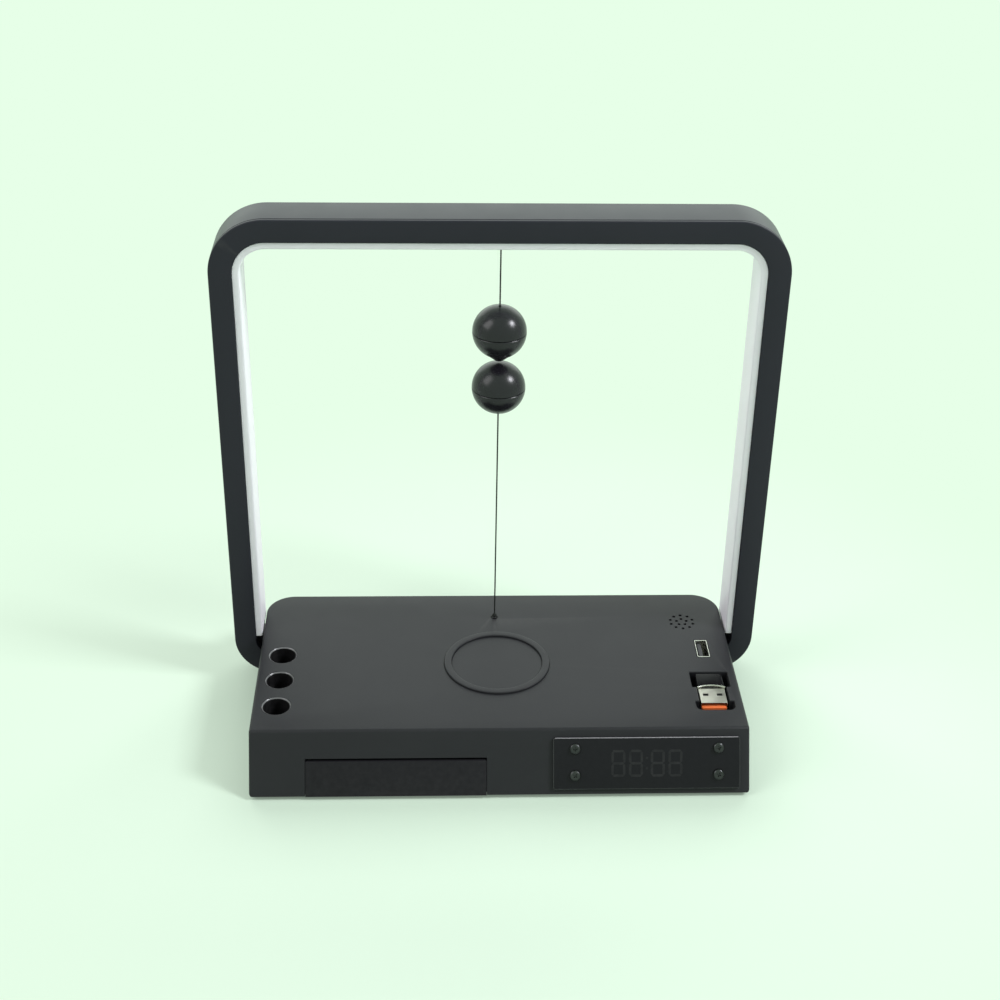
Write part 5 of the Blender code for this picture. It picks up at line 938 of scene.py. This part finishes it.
COVER_SCREWS = [(x, -0.04235) for x in (-0.097, 0.0185, 0.102)]
COVER_SCREWS += [(x, 0.02315) for x in (-0.097, 0.0265, 0.102)]
flat_profile = [(0.0, -0.009), (0.0011, -0.009), (0.0011, -0.0011), (0.00215, -0.00006),
                (0.0021, 0.0), (0.0, 0.0)]
flat_screw = screw_form("flat_screw", flat_profile, 0.0, 0.0009, 0.0012, 0.0003)
cover_screws = set_screws("cover_screws", flat_screw,
                          [Vector((x, y, BASE_LOW)) for x, y in COVER_SCREWS], math.pi, screw_look)
fitted(cover_screws, screw_look, "lamp", "screw_steel", *[f"cover_screw_{i}" for i in range(1, 7)])
long_profile = [(0.0, -0.01695), (0.0015, -0.01695), (0.0015, -0.00085), (0.0023, -0.00006),
                (0.00225, 0.0), (0.0, 0.0)]
long_screw = screw_form("long_screw", long_profile, 0.0, 0.0009, 0.0013, 0.00033)
frame_screws = set_screws("frame_screws", long_screw,
                          [Vector((x, THREAD_Y, BASE_LOW)) for x in (-0.0300, 0.0300)],
                          math.pi, screw_look)
fitted(frame_screws, screw_look, "lamp", "screw_steel", "frame_screw_left", "frame_screw_right")

# The drawer is an open tray moulded with its slanted front. A soft chamfer along the top of
# the front is the finger grip, and it leaves the dark line under the housing's edge.
drawer_look = moulded_plastic("drawer_plastic", (0.0100, 0.0099, 0.0120), (0.0126, 0.0125, 0.0148),
                              0.38, 0.0003, 0.000008, 0.03, gleam=0.1)
TRAY_LEFT, TRAY_RIGHT, TRAY_BACK, TRAY_LOW, TRAY_TOP = -0.0835, -0.0060, 0.02115, 0.0034, 0.01424
FACE_TOP, TRAY_WALL = 0.0128, 0.0012
face_foot = (BASE_TOP - BASE_LOW) / math.cos(LEAN)
chamfer = 0.00099
grip = [(FACE_TOP, -FRONT_WALL), (FACE_TOP, -chamfer - 0.0001)]
grip += [(FACE_TOP + chamfer * share, -chamfer * (1 - share)) for share in (0.1, 0.5, 0.9)]
grip += [(FACE_TOP + chamfer + 0.00015, 0.0), (face_foot - 0.0003, 0.0)]
foot_in = face_foot - FRONT_WALL * math.tan(LEAN)
grip += [(foot_in, -FRONT_WALL)]
face_rings = []
for x, inset in ((TRAY_LEFT, 0.0002), (TRAY_LEFT + 0.00006, 0.00006), (TRAY_LEFT + 0.0002, 0.0),
                 (TRAY_RIGHT - 0.0002, 0.0), (TRAY_RIGHT - 0.00006, 0.00006), (TRAY_RIGHT, 0.0002)):
    face_rings.append([on_front(x, down, out - (inset if out > -0.0015 else 0.0))
                       for down, out in grip])
drawer = skinned("drawer_front", face_rings)


def tray_section(x_low, x_high, floor, top, back, set_back):
    """A box whose front leans with the base's front, a set distance behind it."""
    low_y = on_front(0, (BASE_TOP - floor) / math.cos(LEAN), -set_back).y
    high_y = on_front(0, (BASE_TOP - top) / math.cos(LEAN), -set_back).y
    rings = []
    for x in (x_low, x_high):
        rings.append([Vector((x, low_y, floor)), Vector((x, back, floor)), Vector((x, back, top)),
                      Vector((x, high_y, top))])
    return skinned("tray", rings)


tray = tray_section(TRAY_LEFT, TRAY_RIGHT, TRAY_LOW, TRAY_TOP, TRAY_BACK, FRONT_WALL / 2)
drawer = worked(drawer, tray, "UNION")
hollow = tray_section(TRAY_LEFT + TRAY_WALL, TRAY_RIGHT - TRAY_WALL, TRAY_LOW + TRAY_WALL,
                      BASE_TOP, TRAY_BACK - TRAY_WALL, FRONT_WALL)
drawer = worked(drawer, softened(hollow, 0.0006, 3, 60))
fitted(drawer, drawer_look, "drawer_body", "drawer_plastic", "drawer")

# The adapter lies loose in its pocket: a glossy black body with a neck, a bright bowed trim,
# and a folded plug shell. The shell has two windows over a black strip, a painted shade for the
# dark cavity behind them, and holds an orange tongue that stands a little out of its mouth.
gloss_look = moulded_plastic("adapter_gloss", (0.005, 0.005, 0.006), (0.008, 0.008, 0.009), 0.18,
                             0.0005, 0.000004, 0.05, (0.09, 0.09, 0.09), 0.35, 0.06)
ADAPTER_HALF, ADAPTER_LOW, ADAPTER_TOP = 0.00605, 0.0200, 0.0264
BODY_BACK, TRIM_FRONT = -0.00515, -0.01565
BOW, TRIM_THICK, TRIM_WIDER = 0.0012, 0.00038, 0.0002


def bowed(x):
    return BOW * (1.0 - (x / ADAPTER_HALF) ** 2)


def bowed_block(name, front, back, half, low, high, radius, bow_front, bow_back, steps=20):
    """A block with round edges whose ends bow towards the back in the middle."""
    rings = []
    ends = [(-half + radius * (1 - math.cos(a)), radius * (1 - math.sin(a)))
            for a in (0.0, 0.4, 0.8, 1.2, math.pi / 2)]
    middle = [(-half + radius + (2 * half - 2 * radius) * i / steps, 0.0)
              for i in range(1, steps)]
    stations = ends + middle + [(-x, inset) for x, inset in reversed(ends)]
    for x, inset in stations:
        corner = max(radius - inset, 0.00008)
        y_low = front + inset + (bowed(x) if bow_front else 0.0)
        y_high = back - inset + (bowed(x) if bow_back else 0.0)
        outline = rounded((y_high - y_low) / 2, (high - low) / 2 - inset, corner, 4,
                          ((y_low + y_high) / 2, (low + high) / 2))
        rings.append([Vector((POCKET_X + x, y, z)) for y, z in outline])
    return skinned(name, rings)


BODY_FRONT = TRIM_FRONT + TRIM_THICK + 0.00005
NECK_HALF, NECK_LEVEL, NECK_ENDS = (0.0054, 0.0018), 0.0231, (-0.0168, -0.0136)
adapter_body = bowed_block("adapter_case", BODY_FRONT, BODY_BACK, ADAPTER_HALF, ADAPTER_LOW,
                           ADAPTER_TOP, 0.0008, True, False)
neck = skinned("adapter_neck", [standing(rounded(*NECK_HALF, 0.0004, 3, (POCKET_X, NECK_LEVEL)), y)
                                for y in NECK_ENDS])
adapter_body = gathered("adapter_case", [adapter_body, neck])
fitted(adapter_body, gloss_look, "adapter", "adapter_gloss", "adapter_body")
adapter_trim = bowed_block("adapter_bright_trim", TRIM_FRONT, TRIM_FRONT + TRIM_THICK,
                           ADAPTER_HALF + TRIM_WIDER, ADAPTER_LOW + 0.0001, ADAPTER_TOP + 0.00005,
                           0.00015, True, True)
fitted(adapter_trim, plated_look, "adapter", "plated_metal", "adapter_trim")
PLUG_HALF, PLUG_MOUTH, PLUG_BACK = 0.006, -0.02605, -0.0158
PLUG_LOW, PLUG_HIGH = 0.02095, 0.02545


def plug_outline(offset, y):
    return standing(rounded(PLUG_HALF + offset, (PLUG_HIGH - PLUG_LOW) / 2 + offset,
                            0.00045 + offset, 4, (POCKET_X, (PLUG_LOW + PLUG_HIGH) / 2)), y)


plug_shell = folded_shell("adapter_plug", plug_outline, [
    (0.0, PLUG_BACK), *folded_lip(PLUG_MOUTH, 1), (-SHEET, PLUG_BACK - 0.0006)])
plug_windows = []
for side in (-1, 1):
    window = rounded(0.00122, 0.00086, 0.0001, 2,
                     (POCKET_X + side * 0.0031, PLUG_MOUTH + 0.0059))
    plug_windows.append(skinned("plug_window", [lying(window, z) for z in (0.0249, 0.0262)]))
plug_shell = worked(plug_shell, gathered("plug_windows", plug_windows))
shell_look = bright_metal("plug_shell_metal", (0.44, 0.41, 0.385), (0.54, 0.51, 0.48), 0.34)
fitted(plug_shell, shell_look, "adapter", "plated_metal", "adapter_plug_shell")
# The black strip is painted shade for the empty cavity seen through the windows.
plug_shade_lining = skinned("adapter_plug_lining", [
    standing(rounded(0.0050, 0.00055, 0.0002, 3, (POCKET_X, 0.02435)), y)
    for y in (PLUG_MOUTH + 0.0036, PLUG_BACK - 0.0012)])
fitted(plug_shade_lining, black_look, "adapter", "black_plastic")
orange_look = moulded_plastic("tongue_orange", (0.95, 0.180, 0.045), (1.0, 0.225, 0.065), 0.40,
                              0.0003, 0.00001, 0.05, (0.85, 0.35, 0.14), 0.4)
TONGUE_FRONT, TONGUE_HALF, TONGUE_CORNER = -0.0273, 0.0055, 0.0006
tongue_plan = [(-TONGUE_HALF, PLUG_BACK - 0.0007), (-TONGUE_HALF, TONGUE_FRONT + TONGUE_CORNER)]
corner_x, corner_y = TONGUE_HALF - TONGUE_CORNER, TONGUE_FRONT + TONGUE_CORNER
tongue_plan += bend(-corner_x, corner_y, TONGUE_CORNER, 180, 270, 5)[1:]
tongue_plan += bend(corner_x, corner_y, TONGUE_CORNER, 270, 360, 5)
tongue_plan += [(TONGUE_HALF, PLUG_BACK - 0.0007)]
plug_tongue = softened(skinned("adapter_plug_tongue", [
    lying([(POCKET_X + x, y) for x, y in tongue_plan], z) for z in (0.0214, 0.0235)]), 0.0002, 2)
fitted(plug_tongue, orange_look, "adapter", "tongue_orange", "adapter_tongue")

# The setting buttons are small dished caps in the back wall, each held by a flange.
for name, x, body in (("button_up", -0.060, "key_up"), ("button_mode", -0.050, "key_mode"),
                      ("button_down", -0.040, "key_down")):
    face = BACK - 0.0002
    profile = [(0.0, face - 0.00025), (0.0008, face - 0.0002), (0.0013, face - 0.00005),
               (0.0016, face), (0.00178, face - 0.00008), (0.0019, face - 0.0003),
               (0.0019, 0.05685), (0.0028, 0.05685), (0.0028, 0.05585), (0.0012, 0.05585),
               (0.0012, 0.05385), (0.0, 0.05385)]
    button = turned(name + "_cap", profile, 0.0, 0.0, 32)
    button.data.transform(Matrix.Translation((x, 0.0, BUTTON_Z))
                          @ Matrix.Rotation(-math.pi / 2, 4, "X"))
    fitted(button, black_look, body, "black_plastic", name)

# The pull switch has a small plated plunger that the lower thread ties to under the hole.
plunger_look = moulded_plastic("plunger_plastic", (0.010, 0.010, 0.011), (0.016, 0.016, 0.017), 0.5)
dressed(plunger_look, "pull_switch_plunger")

# Each ball is two glued plastic halves with a fine seam round the middle and a magnet
# inside. The upper one ends in a blunt nose, and the lower one floats up towards it.
ball_look = moulded_plastic("ball_plastic", (0.0090, 0.0080, 0.0115),
                            (0.0120, 0.0110, 0.0150), 0.25, 0.0003, 0.000003, 0.03,
                            (0.06, 0.06, 0.06), 0.3, 0.38)
BALL_RADIUS, BALL_BORE, BALL_HOLE = 0.01175, 0.00975, 0.00075
UPPER_Z, LOWER_Z = 0.1742, 0.1477
NOSE_ROOT, NOSE_TIP, NOSE_LENGTH = 0.0055, 0.00195, 0.0134


def ball_half(name, kind, level, up):
    """Half of a hollow ball, up or down from the seam: bored for its thread, nosed or plain."""
    pole = BALL_HOLE if kind == "bored" else 0.0
    seam, steps = 0.0001, 22
    inner = []
    for step in range(13):
        angle = math.asin(pole / BALL_BORE) + (math.acos(seam / BALL_BORE)
                                               - math.asin(pole / BALL_BORE)) * step / 12
        inner.append((BALL_BORE * math.sin(angle), -BALL_BORE * math.cos(angle)))
    end = math.acos(pole / BALL_RADIUS)
    if kind == "nosed":
        end = math.acos(NOSE_ROOT / BALL_RADIUS)
    start = math.asin(0.00035 / BALL_RADIUS)
    outer = [(BALL_RADIUS - 0.00022, -seam), (BALL_RADIUS - 0.00009, -seam - 0.00010)]
    for step in range(steps + 1):
        angle = start + (end - start) * step / steps
        outer.append((BALL_RADIUS * math.cos(angle), -BALL_RADIUS * math.sin(angle)))
    if kind == "nosed":
        outer += [(NOSE_TIP + 0.0003, -NOSE_LENGTH + 0.00035), (NOSE_TIP, -NOSE_LENGTH + 0.0001),
                  (NOSE_TIP - 0.0003, -NOSE_LENGTH), (0.0, -NOSE_LENGTH)]
    elif kind == "plain":
        outer[-1] = (0.0, -BALL_RADIUS)
    if pole == 0.0:
        inner[0] = (0.0, -BALL_BORE)
    profile = [(radius, level + (-height if up else height)) for radius, height in inner + outer]
    return turned(name, profile, 0.0, THREAD_Y, 72)


for name, kind, level, up, body, node in (
        ("upper_ball_cap", "bored", UPPER_Z, True, "upper_pendulum", "upper_ball_top"),
        ("upper_ball_nose", "nosed", UPPER_Z, False, "upper_pendulum", "upper_ball_bottom"),
        ("lower_ball_cap", "plain", LOWER_Z, True, "lower_pendulum", "lower_ball_top"),
        ("lower_ball_foot", "bored", LOWER_Z, False, "lower_pendulum", "lower_ball_bottom")):
    fitted(ball_half(name, kind, level, up), ball_look, body, "ball_plastic", node)
magnet_look = bright_metal("magnet_nickel", (0.50, 0.50, 0.48), (0.62, 0.62, 0.60), 0.22)
dressed(magnet_look, "upper_magnet", "lower_magnet")

# Each thread is a thin black two-ply cord, taut and knotted inside its ball. The lower one has
# a round bead of cord on the plunger, and the upper one is knotted in the post. Each swings
# with its ball as one straight piece.
cord_look = moulded_plastic("thread_cord", (0.008, 0.009, 0.008), (0.020, 0.022, 0.020), 0.75,
                            0.0001, 0.00002, 0.08, (0.06, 0.06, 0.06), 0.5)
PLY_RADIUS, PLY_OFFSET, PLY_PITCH = 0.00021, 0.00018, 0.0016


def knot(name, middle, radius):
    """A loop of cord that rises and falls twice on its way round, as an overhand knot does."""
    rings = []
    for step in range(49):
        angle = 2 * math.pi * step / 48
        height = 0.35 * radius * math.sin(2 * angle)
        away = 0.55 * radius * (1 + 0.18 * math.cos(3 * angle))
        rings.append(Vector((away * math.cos(angle), THREAD_Y + away * math.sin(angle),
                             middle + height)))
    return tube(name, rings, 0.42 * radius, 8)


def twisted(name, low, high, knots):
    """Two plies laid round each other between two levels, with knots of level and radius."""
    pieces = []
    count = int((high - low) / PLY_PITCH * 10)
    for ply in (0.0, math.pi):
        points = []
        for step in range(count + 1):
            z = low + (high - low) * step / count
            angle = ply + 2 * math.pi * (z - low) / PLY_PITCH
            points.append(Vector((PLY_OFFSET * math.cos(angle),
                                  THREAD_Y + PLY_OFFSET * math.sin(angle), z)))
        pieces.append(tube("ply", points, PLY_RADIUS, 6))
    for level, radius in knots:
        pieces.append(knot("knot", level, radius))
    return pieces


TIE_LEVEL, TIE_RADIUS, BALL_KNOT = 0.02795, 0.0010, 0.0013
LOWER_KNOT, UPPER_KNOT, PIVOT_LEVEL = 0.1395, 0.1824, 0.21675
tie = turned("tie", [(TIE_RADIUS * math.sin(math.pi * i / 12) if 0 < i < 12 else 0.0,
                      TIE_LEVEL - TIE_RADIUS * math.cos(math.pi * i / 12)) for i in range(13)],
             0.0, THREAD_Y, 24)
lower_cord = gathered("lower_cord", [tie] + twisted("ply", TIE_LEVEL, 0.1396,
                                                    [(LOWER_KNOT, BALL_KNOT)]))
fitted(lower_cord, cord_look, "lower_pendulum", "thread_cord", "lower_thread")
upper_cord = gathered("upper_cord", twisted("ply", UPPER_KNOT, 0.2171, [
    (PIVOT_LEVEL, 0.00062), (UPPER_KNOT, BALL_KNOT)]))
fitted(upper_cord, cord_look, "upper_pendulum", "thread_cord", "upper_thread")
dressed(cord_look, "upper_swivel", "lower_swivel")
